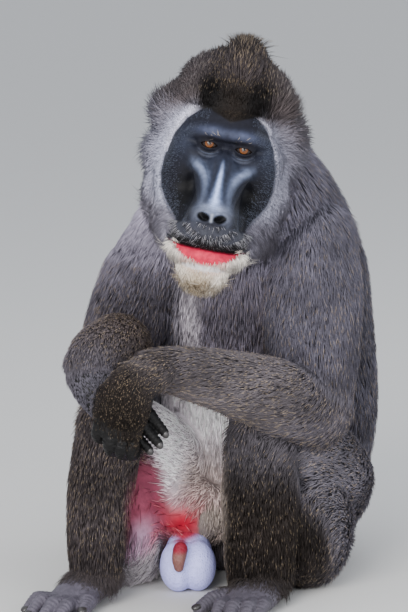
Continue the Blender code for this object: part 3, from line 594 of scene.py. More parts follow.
def sculpt_face(head):
    """Ridges, folds, nostrils and the mouth line, pressed into the fused head."""
    world, normals = vertices(head), vertex_normals(head)
    p = to_head(world)
    q = face_plane(p)
    head_back = np.array(HEAD_PLACE.to_3x3())[:, 1]
    facing = smoothstep(0.0, 0.3, -(normals @ head_back) + 0.25 * normals[:, 2])
    front = smoothstep(0.030, 0.010, p[:, 1]) * facing
    push = np.zeros(len(p))
    for path, half_width, height, ends in STROKES:
        d, along = near_path(mirrored(q), path)
        fade = smoothstep(0, ends, along) * smoothstep(1, 1 - ends, along)
        push += 0.001 * height * bell(d, half_width) * fade * front
    reach = nostril_reach(q)
    push += front * (NOSTRIL_RIM * bell(reach - 1.35, 0.28) - NOSTRIL_DEPTH * smoothstep(1.08, 0.55, reach))
    d, _ = near_path(q, MOUTH)
    push -= MOUTH_GAP * bell(d, 1.7) * (p[:, 1] < -0.02)
    d, along = near_path(q, [(x * 0.9, y - 10) for x, y in MOUTH])
    push += LIP_SWELL * bell(d, 7.0) * smoothstep(0, 0.2, along) * smoothstep(1, 0.8, along) * (p[:, 1] < 0)
    set_vertices(head, world + normals * push[:, None])


def lip_reach(q):
    """How far a face point is below the mouth line, and how far the bare lip goes there."""
    line = np.interp(q[:, 0], [m[0] for m in MOUTH], [m[1] for m in MOUTH])
    depth = LIP_DEPTH * np.clip(1 - (q[:, 0] / LIP_HALF) ** 2, 0, 1) ** 0.7
    return line - q[:, 1], depth


def face_colour(points):
    """The bare face's colours: black mask, red lower lip and pale chin, with painted highlights on the ridges,
    brow and nose, and painted shade in the hollows, grooves, nostrils, mouth line and round the eyes.
    """
    p = to_head(points)
    q = face_plane(p)
    m = mirrored(q)
    x, y = q.T
    grain = 0.5 + 0.5 * np.sin(x * 2.1 + 2 * np.sin(y * 1.7)) * np.sin(y * 2.3 + 2 * np.sin(x * 1.3))
    # Where the painted highlights lie along the midline and the side ridges
    middle, along = near_path(m, MIDLINE)
    middle_ridge_highlight = bell(middle, 2.0 + 4.4 * along ** 2) * smoothstep(0.0, 0.5, along)
    side, along = near_path(m, RIDGE)
    side_ridge_highlight = bell(side, 6.0 - 2.2 * along) * smoothstep(-0.1, 0.15, along)
    side_ridge_highlight *= 1 - 0.75 * smoothstep(0.30, 0.85, along)
    groove, _ = near_path(m, GROOVE)
    under_nose, _ = near_path(m, [(0, -87), (0, -96)])
    upper_lip = smoothstep(-98, -103, y) * smoothstep(0.010, -0.030, p[:, 1])
    nostril = smoothstep(1.12, 0.80, nostril_reach(q)) * (p[:, 1] < -0.05)
    below, depth = lip_reach(q)
    front = p[:, 1] < -0.02
    mouth = smoothstep(47, 42, m[:, 0])
    chin = smoothstep(depth - 4, depth + 1, below) * (p[:, 1] < 0.02) * mouth
    lower_lip = smoothstep(-0.8, 1.0, below) * smoothstep(depth + 2, depth - 3, below) * front
    # Painted shadow round the eyes, deepest under the brow
    socket = np.maximum(spot(m, (22, 1), (15, 8.5)), spot(m, (21, 6.5), (18, 3.5)))
    colour = layered(np.tile((0.009, 0.009, 0.014), (len(p), 1)), [
        ((0.022, 0.026, 0.042), 0.8 * spot(m, (54, -2), (18, 22))),
        ((0.034, 0.042, 0.070), 0.8 * spot(m, (10, -44), (16, 34))),
        # painted highlight along the brow bar above the eyes
        ((0.062, 0.073, 0.125), 0.85 * spot(m, (19, 15.5), (22, 6.5))),
        # painted shadow in the cheek hollows
        ((0.003, 0.003, 0.004), 1.2 * spot(m, (40, -64), (15, 27))),
        # painted shade in the grooves between the midline and the side ridges
        ((0.016, 0.018, 0.028), 0.8 * bell(groove, 3.2)),
        # painted highlights along the side ridges and the midline ridge
        ((0.17, 0.205, 0.31), 0.9 * side_ridge_highlight),
        ((0.47, 0.60, 1.0), middle_ridge_highlight * (0.76 + 0.24 * grain)),
        # painted highlights on the nose top, the nostrils' outer rims and the ridge under the nose
        ((0.22, 0.25, 0.35), 0.85 * spot(m, (5, -82), (14, 7))),
        ((0.10, 0.11, 0.15), 0.8 * spot(m, (19, -91), (6, 9))),
        ((0.40, 0.43, 0.52), 0.6 * bell(under_nose, 1.8)),
        ((0.054, 0.056, 0.072), 0.75 * upper_lip * (0.5 + 0.5 * grain)),
        # painted shade deep in the nostrils
        ((0.003, 0.003, 0.004), nostril),
        ((0.012, 0.012, 0.014), bell(below + 4.0, 4.5) * front * mouth),
        ((0.52, 0.49, 0.49), chin),
        ((0.60, 0.020, 0.062), lower_lip * (0.80 + 0.20 * grain)),
        # painted shade in the mouth's gap
        ((0.008, 0.006, 0.007), 1.2 * bell(below, 1.8) * front * (m[:, 0] < LIP_HALF)),
        # painted shadow round the eyes, under the brow
        ((0.009, 0.008, 0.010), 0.9 * socket),
    ])
    # Painted highlights and a painted shade line along the folds under the lids
    for drop, tone, strength in LID_FOLDS:
        fold, along = near_path(m, lowered(UNDER_LID, drop))
        colour = blend(colour, tone, strength * bell(fold, 0.8) * bell(along - 0.5, 0.4) * (p[:, 1] < 0.03))
    return colour


# Regions of the body: name, tube, the coat's colour, the length of its hair and how dense its gold tips are
REGIONS = [
    ("trunk", TORSO, (0.084, 0.079, 0.101), 0.034, 0.5),
    ("arm_left", ARM_LEFT, (0.086, 0.080, 0.102), 0.031, 0.6),
    ("forearm_left", FOREARM_LEFT, (0.088, 0.077, 0.084), 0.022, 1.3),
    ("arm_right", ARM_RIGHT, (0.074, 0.066, 0.081), 0.029, 0.7),
    ("forearm_right", FOREARM_RIGHT, (0.075, 0.057, 0.051), 0.020, 1.5),
    ("leg_left", LEG_LEFT, (0.115, 0.106, 0.126), 0.028, 0.7),
    ("shin_left", SHIN_LEFT, (0.020, 0.015, 0.013), 0.022, 0.5),
    ("leg_right", LEG_RIGHT, (0.062, 0.053, 0.058), 0.026, 0.7),
    ("shin_right", SHIN_RIGHT, (0.046, 0.037, 0.038), 0.022, 0.8),
    ("tail", TAIL, (0.070, 0.064, 0.072), 0.020, 0.3),
    ("palm_left", PALM_LEFT, (0.014, 0.010, 0.008), 0.010, 0.0),
    ("palm_right", PALM_RIGHT, (0.034, 0.030, 0.035), 0.010, 0.0),
    ("sole_left", SOLE_LEFT, (0.044, 0.037, 0.037), 0.007, 0.0),
    ("sole_right", SOLE_RIGHT, (0.044, 0.037, 0.037), 0.007, 0.0),
]
REGION_NAMES = [row[0] for row in REGIONS]
LENGTHS = np.array([row[3] for row in REGIONS])
TICKS = np.array([row[4] for row in REGIONS])
UNWRAP_COLUMNS = 4

# Ellipsoids of the markings: centre, radii and soft edge
CHEST = ((-0.01, -0.10, 0.34), (0.095, 0.08, 0.12), 0.3)
STRIPE = ((-0.040, -0.085, 0.335), (0.017, 0.080, 0.110), 0.5)
BELLY = ((-0.030, -0.090, 0.180), (0.050, 0.110, 0.118), 0.2)
UPPER_BELLY = ((-0.068, -0.090, 0.232), (0.036, 0.110, 0.050), 0.3)
# The lower belly's warm brownish tone is partly its own colour and partly painted shade
WARM_SHADED_BELLY = ((-0.012, -0.090, 0.118), (0.034, 0.090, 0.060), 0.5)
TAN_FOLD = ((-0.004, -0.110, 0.105), (0.024, 0.080, 0.095), 0.4)
GROIN = ((-0.103, -0.100, 0.116), (0.036, 0.090, 0.060), 0.4)
BARE_GROIN = ((-0.098, -0.100, 0.116), (0.036, 0.090, 0.056), 0.3)
RED_GROIN = ((-0.046, -0.100, 0.084), (0.036, 0.090, 0.030), 0.8)
BARE_RED_GROIN = ((-0.046, -0.100, 0.084), (0.034, 0.090, 0.026), 0.3)
LILAC = ((-0.090, -0.100, 0.070), (0.030, 0.090, 0.026), 0.6)
FRINGE = ((-0.104, -0.110, 0.030), (0.050, 0.060, 0.040), 0.3)
LONG_FRINGE = ((-0.104, -0.110, 0.040), (0.050, 0.070, 0.045), 0.3)
WRIST = ((-0.163, -0.170, 0.287), (0.050, 0.160, 0.052), 0.9)


def is_in(region, *names):
    return np.isin(region, [REGION_NAMES.index(name) for name in names])


def body_field(points):
    """For each point its region's number, the lie of its hair, its colour and its place on the unwrap."""
    count = len(points)
    best = np.full(count, 9.0)
    region = np.zeros(count, int)
    total = np.zeros(count)
    lie = np.zeros((count, 3))
    colour = np.zeros((count, 3))
    place = np.zeros((count, 2))
    for number, (name, stations, tone, _, _) in enumerate(REGIONS):
        rows = catmull(stations, 6)
        centres, radii = rows[:, :3], rows[:, 3:5].mean(axis=1)
        tangents = np.gradient(centres, axis=0)
        tangents /= np.linalg.norm(tangents, axis=1)[:, None]
        gap = np.linalg.norm(points[:, None] - centres, axis=2) - radii
        nearest = gap.argmin(axis=1)
        d = gap[np.arange(count), nearest]
        weight = np.exp(-np.clip(d, -0.1, 1) / 0.010)
        # The trunk's tube runs up from the floor and its hair lies down
        way = -1 if name == "trunk" else 1
        total += weight
        lie += weight[:, None] * tangents[nearest] * way
        colour += weight[:, None] * np.array(tone)
        off = points - centres[nearest]
        across = np.cross(tangents[nearest], (0, 0.3, 1))
        across /= np.linalg.norm(across, axis=1)[:, None]
        up = np.cross(tangents[nearest], across)
        angle = np.arctan2((off * up).sum(axis=1), (off * across).sum(axis=1)) / (2 * math.pi) + 0.5
        row, column = divmod(number, UNWRAP_COLUMNS)
        u = (column + 0.02 + 0.96 * angle) / UNWRAP_COLUMNS
        v = (row + 0.05 + 0.9 * nearest / len(centres)) / UNWRAP_COLUMNS
        closer = d < best
        best[closer], region[closer] = d[closer], number
        place[closer] = np.stack([u, v], axis=1)[closer]
    return region, lie / total[:, None], colour / total[:, None], place


def zone(points, centre, radii, edge):
    """1 inside an ellipsoid, fading to 0 past its edge."""
    d = np.linalg.norm((points - np.asarray(centre)) / np.asarray(radii), axis=1)
    return smoothstep(1 + edge, 1 - edge, d)


def inside_thigh(points):
    """1 on the thigh's inner side, so that the groin's pink doesn't reach its outer side."""
    return smoothstep(-0.128, -0.114, points[:, 0])


def wrist_share(points, region):
    return zone(points, *WRIST) * is_in(region, "arm_right", "forearm_right", "palm_right")


def body_bare(points):
    """1 where the coat grows; the groin has hardly any hair."""
    groin = zone(points, *BARE_GROIN) * inside_thigh(points)
    return 1 - 0.96 * np.maximum(groin, zone(points, *BARE_RED_GROIN))


def body_colour(points, region, base):
    """Markings of coat and skin: pale bluish mantle that is partly painted sheen, chest line, belly with painted
    shade on its lower part, fringe, and the groin's pink and red.
    """
    x, y, z = points.T
    mantle = smoothstep(0.36, 0.47, z) * is_in(region, "trunk", "arm_left", "arm_right")
    rump = smoothstep(0.02, 0.10, y) * is_in(region, "trunk", "arm_left")
    on_trunk = is_in(region, "trunk")
    lower = is_in(region, "trunk", "leg_right", "shin_right") * (x < 0.012)
    belly = np.maximum(zone(points, *BELLY), zone(points, *UPPER_BELLY)) * lower
    red = zone(points, *RED_GROIN) * lower
    return layered(base, [
        # the mantle's pale blue-grey is partly the coat's own colour and partly painted sheen where the coat
        # faces up
        ((0.36, 0.33, 0.42), 0.8 * mantle * smoothstep(0.16, 0.02, x)),
        ((0.125, 0.118, 0.152), 0.8 * mantle * smoothstep(0.05, 0.14, x)),
        ((0.078, 0.071, 0.089), 0.8 * rump),
        ((0.19, 0.168, 0.208), 0.85 * zone(points, *CHEST) * on_trunk),
        ((0.50, 0.455, 0.50), 0.9 * zone(points, *STRIPE) * on_trunk),
        ((0.98, 0.90, 0.95), 0.98 * belly),
        # lower belly warm brownish: partly its own colour, partly painted shade
        ((0.42, 0.32, 0.28), 0.8 * zone(points, *WARM_SHADED_BELLY) * lower),
        ((0.26, 0.055, 0.092), 0.95 * zone(points, *GROIN) * lower * inside_thigh(points)),
        ((0.46, 0.33, 0.46), 0.7 * zone(points, *LILAC) * lower),
        ((0.36, 0.004, 0.024), red),
        ((0.34, 0.31, 0.33), zone(points, *FRINGE)),
        ((0.36, 0.30, 0.265), 0.9 * zone(points, *TAN_FOLD) * (1 - belly) * (1 - red)),
        ((0.135, 0.128, 0.162), 0.8 * wrist_share(points, region)),
    ])


def save_colour(obj, colour):
    """Keeps one colour to a vertex, where the materials look for it."""
    layer = obj.data.color_attributes.new("Tone", "FLOAT_COLOR", "POINT")
    rgba = np.ones((len(colour), 4), np.float32)
    rgba[:, :3] = colour
    layer.data.foreach_set("color", rgba.ravel())


def set_inputs(node, **values):
    """Sets the node's inputs; an underscore stands for a space in their names."""
    for key, value in values.items():
        node.inputs[key.replace("_", " ")].default_value = value
    return node


def material(name, roughness, scale=0, bump=0.0, speckle=0.0, relief_depth=0.0006, **sockets):
    """A surface that takes its colour from the piece's own markings, with grain and relief."""
    mat = bpy.data.materials.new(name)
    mat.use_nodes = True
    nodes, links = mat.node_tree.nodes, mat.node_tree.links
    shader = set_inputs(nodes["Principled BSDF"], Roughness=roughness, **sockets)
    tone = nodes.new("ShaderNodeAttribute")
    tone.attribute_name = "Tone"
    colour = tone.outputs["Color"]
    coords = nodes.new("ShaderNodeTexCoord")
    if speckle:
        spots = set_inputs(nodes.new("ShaderNodeTexNoise"), Scale=160, Detail=4)
        links.new(coords.outputs["Object"], spots.inputs["Vector"])
        ramp = set_inputs(nodes.new("ShaderNodeMapRange"), From_Min=0.3, From_Max=0.7, To_Min=1 - speckle,
                          To_Max=1 + speckle)
        links.new(spots.outputs["Fac"], ramp.inputs["Value"])
        scaled = nodes.new("ShaderNodeVectorMath")
        scaled.operation = "SCALE"
        links.new(colour, scaled.inputs[0])
        links.new(ramp.outputs["Result"], scaled.inputs["Scale"])
        colour = scaled.outputs["Vector"]
    links.new(colour, shader.inputs["Base Color"])
    if bump:
        creases = nodes.new("ShaderNodeTexVoronoi")
        creases.feature = "DISTANCE_TO_EDGE"
        set_inputs(creases, Scale=scale, Randomness=1.0)
        links.new(coords.outputs["Object"], creases.inputs["Vector"])
        relief = set_inputs(nodes.new("ShaderNodeBump"), Strength=bump, Distance=relief_depth)
        links.new(creases.outputs["Distance"], relief.inputs["Height"])
        links.new(relief.outputs["Normal"], shader.inputs["Normal"])
    return mat


def scatter(obj, count, seed, keep):
    """Random roots on the object's skin, their normals and the generator; `keep` gives each face's share."""
    mesh = obj.data
    mesh.calc_loop_triangles()
    tris = np.empty(len(mesh.loop_triangles) * 3, np.int32)
    mesh.loop_triangles.foreach_get("vertices", tris)
    tris = tris.reshape(-1, 3)
    points, normals = vertices(obj), vertex_normals(obj)
    a, b, c = points[tris[:, 0]], points[tris[:, 1]], points[tris[:, 2]]
    area = np.linalg.norm(np.cross(b - a, c - a), axis=1) / 2
    share = area * keep((a + b + c) / 3, normals[tris].mean(axis=1))
    rng = np.random.default_rng(seed)
    pick = rng.choice(len(tris), size=count, p=share / share.sum())
    u, v = rng.random(count), rng.random(count)
    flip = u + v > 1
    u[flip], v[flip] = 1 - u[flip], 1 - v[flip]
    w = 1 - u - v
    tri = tris[pick]

    def spread(values):
        first, second, third = values[tri[:, 0]], values[tri[:, 1]], values[tri[:, 2]]
        return first * w[:, None] + second * u[:, None] + third * v[:, None]

    normal = spread(normals)
    return spread(points), normal / np.linalg.norm(normal, axis=1)[:, None], rng


# A tuft starts this far under the skin, and covers this much of the unwrap to each side
ROOT_DEPTH = 0.0008
PATCH = 0.0015
# Its points: the root, three round its widest place (across and off the skin) and the tip
TUFT_POINTS = 5
WIDEST = ((-1, 0), (1, 0), (0, 0.8))


def tufts(name, root, normal, lie, length, width, lift, sag, tones, place, mat, rng, belly=0.42, wild=0.12):
    """Closed spindle tufts, one to a root, along the coat; tones are their root, middle and tip colours."""
    count = len(root)
    lie = lie + rng.normal(0, wild, (count, 3))
    lie -= normal * (lie * normal).sum(axis=1)[:, None]
    lie /= np.linalg.norm(lie, axis=1)[:, None] + 1e-9
    side = np.cross(normal, lie)
    points = np.empty((count, TUFT_POINTS, 3))
    colour = np.empty((count, TUFT_POINTS, 3), np.float32)
    patch = np.empty((count, TUFT_POINTS, 2), np.float32)
    curl = rng.normal(0, 0.07, count) * length

    def middle(t):
        along = root - normal * ROOT_DEPTH + lie * (length * t)[:, None]
        return along + normal * (lift * t - sag * t * t)[:, None] + side * (curl * t * t)[:, None]

    points[:, 0], colour[:, 0], patch[:, 0] = middle(0), tones[0], place - (0, PATCH)
    centre = middle(belly)
    half = (width / 2)[:, None]
    for j, (across, off) in enumerate(WIDEST):
        points[:, 1 + j] = centre + side * half * across + normal * half * off
        colour[:, 1 + j] = tones[1]
        patch[:, 1 + j] = place + (PATCH * across, 0)
    points[:, 4], colour[:, 4], patch[:, 4] = middle(1), tones[2], place + (0, PATCH)
    points[..., 2] = np.maximum(points[..., 2], REST_Z)
    trios = [(1 + (j + 1) % 3, 1 + j, 0) for j in range(3)] + [(1 + j, 1 + (j + 1) % 3, 4) for j in range(3)]
    starts = (np.arange(count) * TUFT_POINTS)[:, None, None]
    loops = (np.array(trios)[None] + starts).reshape(-1).astype(np.int32)
    mesh = bpy.data.meshes.new(name)
    mesh.vertices.add(count * TUFT_POINTS)
    mesh.vertices.foreach_set("co", points.ravel())
    mesh.loops.add(len(loops))
    mesh.loops.foreach_set("vertex_index", loops)
    mesh.polygons.add(len(loops) // 3)
    mesh.polygons.foreach_set("loop_start", np.arange(0, len(loops), 3, dtype=np.int32))
    mesh.update(calc_edges=True)
    layer = mesh.uv_layers.new(name="OFBake")
    layer.data.foreach_set("uv", patch.reshape(-1, 2)[loops].ravel())
    obj = bpy.data.objects.new(name, mesh)
    bpy.context.scene.collection.objects.link(obj)
    save_colour(obj, colour.reshape(-1, 3))
    mesh.materials.append(mat)
    return obj


def sculpt_digits(obj, digits):
    """Joint creases and knuckles along each digit."""
    world, normals = vertices(obj), vertex_normals(obj)
    push = np.zeros(len(world))
    for joints in digits:
        d, along = near_path(world, [j[:3] for j in joints])
        on = d < 0.013
        spans = len(joints) - 1
        for k in range(1, spans):
            push += on * 0.0010 * bell(along - k / spans, 0.10)
        creases = np.sin(along * spans * 2 * math.pi * 5)
        push += on * 0.00035 * creases * smoothstep(0.05, 0.2, along)
    set_vertices(obj, world + normals * push[:, None])


def extremity(name, stations, digits, inset, voxel):
    """The skin of a hand or foot with its digits."""
    obj = fuse(solid(name, [tube(thinner(stations, inset))] + [digit(d) for d in digits]), voxel, 4)
    sculpt_digits(obj, digits)
    return floor_cut(obj)


# The design's frame has the eyes' midpoint where the photo gave it; the part stands centred on the origin
low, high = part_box("eye_left")
SHIFT = (Vector(low) + Vector(high)) / 2 - HEAD_PLACE @ Vector(EYE_CENTRES[1])
SHIFT.z = 0

skin_bare = material("bare_skin", 0.46, 330, 0.7, 0.20, 0.0009, Specular_IOR_Level=0.16)
skin_face = material("face_skin", 0.52, 480, 0.55, 0.22, Specular_IOR_Level=0.13)
skin_lilac = material("lilac_skin", 0.52, 300, 1.0, 0.10, 0.0016, Specular_IOR_Level=0.35)
skin_under = material("skin_under_coat", 0.75, 500, 0.4, 0.15, Specular_IOR_Level=0.12)
coat = material("coat_hair", 0.62, Specular_IOR_Level=0.16)
eye_surface = material("eye", 0.16, Specular_IOR_Level=0.25, Coat_Weight=0.30, Coat_Roughness=0.05)

# Skin: the flesh forms less the coat's depth, each fused at the fineness it needs
trunk = solid("trunk", [
    tube(thinner(TORSO, 0.008), BODY_LEFT, ring=40),
    tube(thinner(ARM_LEFT, 0.007)),
    tube(thinner(FOREARM_LEFT, 0.005), (0, 0, 1)),
    tube(thinner(ARM_RIGHT, 0.007)),
    tube(thinner(FOREARM_RIGHT, 0.005)),
    tube(thinner(LEG_LEFT, 0.007)),
    tube(thinner(SHIN_LEFT, 0.006)),
    blob(CALF_LEFT, slimmer(CALF_LEFT_RADII, 0.007)),
    tube(thinner(LEG_RIGHT, 0.007)),
    tube(thinner(SHIN_RIGHT, 0.006)),
    blob(CALF_RIGHT, slimmer(CALF_RIGHT_RADII, 0.007)),
    blob(INNER_THIGH, slimmer(INNER_THIGH_RADII, 0.004)),
    blob(INNER_FRINGE, slimmer(INNER_FRINGE_RADII, 0.007)),
    blob(CROTCH, CROTCH_RADII),
    tube(thinner(TAIL, 0.005)),
])
floor_cut(fuse(trunk, 0.004, 14))
hand_left = extremity("hand_left_skin", PALM_LEFT, DIGITS_LEFT, 0.003, 0.0013)
hand_right = extremity("hand_right_skin", PALM_RIGHT, DIGITS_RIGHT, 0.003, 0.0013)
foot_left = extremity("foot_left_skin", SOLE_LEFT, TOES_LEFT, 0.002, 0.0015)
foot_right = extremity("foot_right_skin", SOLE_RIGHT, TOES_RIGHT, 0.002, 0.0015)
scrotum = floor_cut(fuse(solid("scrotum_skin", [blob(*shape) for shape in SCROTUM]), 0.0018, 14))
sheath = fuse(solid("sheath_skin", [tube(thinner(SHEATH[1:], -0.0016), ring=14, dome=3)]), 0.0012, 3)
head = fuse(solid("head_skin", place(head_pieces(), HEAD_PLACE)), 0.0013, 34)
beside = mirrored(face_plane(to_head(vertices(head))))
folds = sum(spot(beside, middle, half) for middle, half in SOFT_PLACES)
relax(head, 0.9 * np.clip(folds, 0, 1), 160)
sculpt_face(head)
for centre in EYE_CENTRES:
    open_eye(head, centre)

EVERY = 1.0


def head_place(p):
    """A place on the head's unwrap: the angle round its long axis and the distance back from the nose."""
    around = np.arctan2(p[:, 0], p[:, 2] + 0.02) / (2 * math.pi) + 0.5
    back = np.clip((p[:, 1] + 0.11) / 0.27, 0, 1)
    return np.stack([0.5 + 0.005 + 0.48 * around, 0.76 + 0.22 * back], axis=1)


def past_mask(p):
    """How many millimetres outside the bare mask a head point is, as seen from the front; negative inside."""
    q = face_plane(p)
    middle = -4.5 * smoothstep(-110, -80, q[:, 1])
    out = np.abs(q[:, 0] - middle) - np.interp(q[:, 1], MASK_UP, MASK_HALF)
    out = np.maximum(out, q[:, 1] - (30 + 0.42 * np.abs(q[:, 0])))
    return np.where(p[:, 1] > 0.058, np.maximum(out, 12), out)


def hairy(points):
    """How thick the coat grows on the head: none on the mask and muzzle."""
    p = to_head(points)
    q = face_plane(p)
    muzzle = (np.abs(q[:, 0]) < 41) & (q[:, 1] < -96) & (p[:, 1] < 0.015)
    return np.where(muzzle, 0.0, smoothstep(-1.0, 1.5, past_mask(p)))


def head_lie(p):
    """Hair runs out from the face, then back, leaning in to the crest on the crown and down under the jaw."""
    x, y, z = p.T
    out = np.stack([x, np.full(len(p), 0.0), z + 0.02], axis=1)
    out /= np.linalg.norm(out, axis=1)[:, None]
    share = smoothstep(0.012, 0.11, y)[:, None]
    lie = out * (1 - share) + np.array((0, 1.0, -0.40)) * share
    inner = smoothstep(0.060, 0.025, np.abs(x)) * smoothstep(0.02, 0.05, z) * (1 - share[:, 0])
    lie[:, 0] -= 9.0 * x * inner
    lie[:, 2] += 0.5 * inner
    jaw = smoothstep(-0.070, -0.115, z)[:, None]
    spread = x * (14 - 9 * smoothstep(0.052, 0.040, np.abs(x)))
    down = np.stack([spread, 0.3 * share[:, 0] + 0.1, np.full(len(p), -1.0)], axis=1)
    return lie * (1 - jaw) + down * jaw


# Tones that go over from the animal's right side to its left
RUFF_TONES = np.array((0.40, 0.405, 0.51)), np.array((0.24, 0.24, 0.30))
LOW_RUFF, LOW_RUFF_CHANGE = np.array((0.165, 0.152, 0.185)), np.array((0.060, 0.056, 0.066))


def head_tone(p):
    """The head coat's own colour at each place, and how much of it is chin."""
    q = face_plane(p)
    x, y = q.T
    out = past_mask(p)
    above = smoothstep(15, 55, y)
    side = smoothstep(-60, 60, x)[:, None]
    temple_right, along = near_path(q, TEMPLE_RIGHT)
    temple_left, _ = near_path(q, TEMPLE_LEFT)
    white = bell(temple_right, 7.5) * smoothstep(0, 0.3, along) + 0.8 * bell(temple_left, 3.6)
    crown = smoothstep(54, 24, np.abs(x)) * smoothstep(26, 33, y) * (1 - 0.8 * np.clip(white, 0, 1))
    crown *= 1 - 0.75 * smoothstep(62, 92, y)
    dark = np.clip(1.4 * (spot(q, (-34, 60), (15, 24)) + spot(q, (31, 60), (17, 24))), 0, 1)
    chin = smoothstep(-116, -126, y) * smoothstep(0.03, 0.0, p[:, 1]) * smoothstep(56, 46, np.abs(x))
    tone = layered(RUFF_TONES[0] + (RUFF_TONES[1] - RUFF_TONES[0]) * side, [
        ((0.20, 0.185, 0.225), 0.8 * smoothstep(6, 34, out)),
        # the ruff low beside the mouth and jaw is darker: partly its own grey, partly painted shade
        (LOW_RUFF - LOW_RUFF_CHANGE * side, 0.85 * smoothstep(-68, -96, y)),
        ((0.064, 0.048, 0.044), 0.9 * above * smoothstep(4, 22, out)),
        ((0.70, 0.69, 0.82), white * (p[:, 1] < 0.05)),
        ((0.008, 0.0055, 0.0042), crown),
        ((0.012, 0.008, 0.006), 0.9 * spot(q, (0, 44), (16, 26))),
        ((0.003, 0.002, 0.002), dark * smoothstep(58, 44, np.abs(x))),
        ((0.016, 0.011, 0.009), spot(q, (-2, 128), (16, 16)) * above),
        ((0.80, 0.74, 0.68), chin),
    ])
    return tone, chin


def head_tones(p, along, rng, ticks):
    """Root, middle and tip colours of the head's hairs, each as the markings are at its own place."""
    chin = head_tone(p)[1]
    tint = rng.uniform(0.66, 1.30, (len(p), 1))
    root, middle, tips = (head_tone(p + along * t)[0] * tint for t in (0.0, 0.4, 0.9))
    q = face_plane(p)
    x, y = q.T
    below, depth = lip_reach(q)
    blush = chin * smoothstep(7, 0, below - depth) * (p[:, 1] < 0) * smoothstep(34, 22, np.abs(x))
    gold = chin * smoothstep(-130, -146, y) * bell(x + 4, 26)
    middle = layered(middle, [((0.80, 0.34, 0.34), 0.6 * blush), ((0.38, 0.29, 0.19), 0.8 * gold)])
    tips = blend(tips, (0.26, 0.19, 0.10), 0.95 * gold)
    if ticks:
        gold = smoothstep(58, 34, np.abs(x))[:, None]
        tint = tint * (0.6 + 0.4 * smoothstep(45, 75, y))[:, None]
        tips = (np.array((0.40, 0.30, 0.195)) * gold + np.array((0.42, 0.38, 0.37)) * (1 - gold)) * tint
    # The roots are darker: partly the hair's own dark base, partly painted shade deep in the coat
    return np.clip(root * 0.62, 0, 1), np.clip(middle, 0, 1), np.clip(tips, 0, 1)


def grow_head(name, count, seed, keep, length, width, belly=0.42, wild=0.12, ticks=False, loft=1.0):
    """A coat of the head, about `count` tufts where `keep` says, as long as `length` says."""
    root, normal, rng = scatter(head, int(count * EVERY), seed, keep)
    p = to_head(root)
    lie = head_lie(p)
    size = length(p) * rng.uniform(0.75, 1.2, len(p))
    thick = width * rng.uniform(0.7, 1.3, len(p)) / math.sqrt(EVERY)
    lift = size * loft * (0.34 + 0.26 * smoothstep(5, 40, past_mask(p)))
    along = lie / np.linalg.norm(lie, axis=1)[:, None] * size[:, None]
    tones = head_tones(p, along, rng, ticks)
    lie = lie @ np.array(HEAD_PLACE.to_3x3()).T
    return tufts(name, root, normal, lie, size, thick, lift, size * 0.26, tones, head_place(p), coat, rng,
                 belly, wild)


def head_length(p):
    """Short at the edge of the mask, long further out; it lengthens slowly from the forehead to the crest."""
    q = face_plane(p)
    top = smoothstep(0.022, 0.040, p[:, 2]) * smoothstep(60, 44, np.abs(q[:, 0]))
    full = 0.041 - 0.013 * smoothstep(0.03, 0.06, p[:, 2]) * (1 - bell(q[:, 0], 22))
    full -= 0.020 * spot(q, (-66, 50), (24, 24))
    full += 0.012 * spot(q, (-86, 0), (18, 18)) + 0.006 * spot(q, (-86, 16), (14, 9))
    beside_mouth = smoothstep(-92, -104, q[:, 1]) * smoothstep(66, 52, np.abs(q[:, 0]))
    ramp = smoothstep(0, 1, past_mask(p) / (24 + 46 * top))
    return (0.009 + (full - 0.009) * ramp) * (1 - 0.35 * beside_mouth)


def beard_length(p):
    below, depth = lip_reach(face_plane(p))
    return 0.015 + 0.020 * smoothstep(0, 14, below - depth)


def is_crown(points, normals):
    p = to_head(points)
    return hairy(points) * (p[:, 2] > 0.018) * (1 + smoothstep(25, 0, past_mask(p)))


def is_ticked(points, normals):
    """Gold tips keep off the dark patches beside the crest and are thickest low on the forehead."""
    q = face_plane(to_head(points))
    dark = np.clip(spot(q, (-35, 62), (13, 20)) + spot(q, (30, 62), (15, 20)), 0, 1)
    thick = smoothstep(62, 42, np.abs(q[:, 0])) + 0.8 + 2.5 * spot(q, (0, 44), (14, 24))
    return is_crown(points, normals) * (1 - 0.8 * dark) * thick


def is_ruff(points, normals):
    p = to_head(points)
    chin = (p[:, 2] < -0.104) & (p[:, 1] < 0.02) & (np.abs(p[:, 0]) < 0.043)
    near = 1 + 1.5 * smoothstep(25, 0, past_mask(p))
    return hairy(points) * (p[:, 2] <= 0.022) * ~chin * near


def is_beard(points, normals):
    p = to_head(points)
    q = face_plane(p)
    below, depth = lip_reach(q)
    edge = np.abs(q[:, 0]) + 0.25 * (-126 - q[:, 1]) + 3 * np.sin(0.9 * q[:, 1])
    grown = smoothstep(depth - 10, depth + 2, below) * (q[:, 1] < -112) * (p[:, 1] < 0.03)
    return grown * smoothstep(49, 43, edge) * (1 + smoothstep(30, 40, edge))


def is_muzzle(points, normals):
    p = to_head(points)
    q = face_plane(p)
    below, _ = lip_reach(q)
    near = (q[:, 1] < -99) * (np.abs(q[:, 0]) < 46)
    return near * (below < -0.5) * (p[:, 1] < -0.02) * (normals @ np.array((0, -1, 0.1)) > -0.2)


def is_stubbled(points, normals):
    """The outer part of the mask, thinning towards the eyes and the cheek hollows."""
    p = to_head(points)
    q = face_plane(p)
    near = smoothstep(-32, -2, past_mask(p)) * (past_mask(p) < 2)
    return near * (q[:, 1] > -100) * (np.abs(q[:, 0]) > 26) * (p[:, 1] < 0.07)


def is_brow(points, normals):
    return spot(mirrored(face_plane(to_head(points))), (17, 9.5), (9, 2.0)) * (normals[:, 1] < 0)


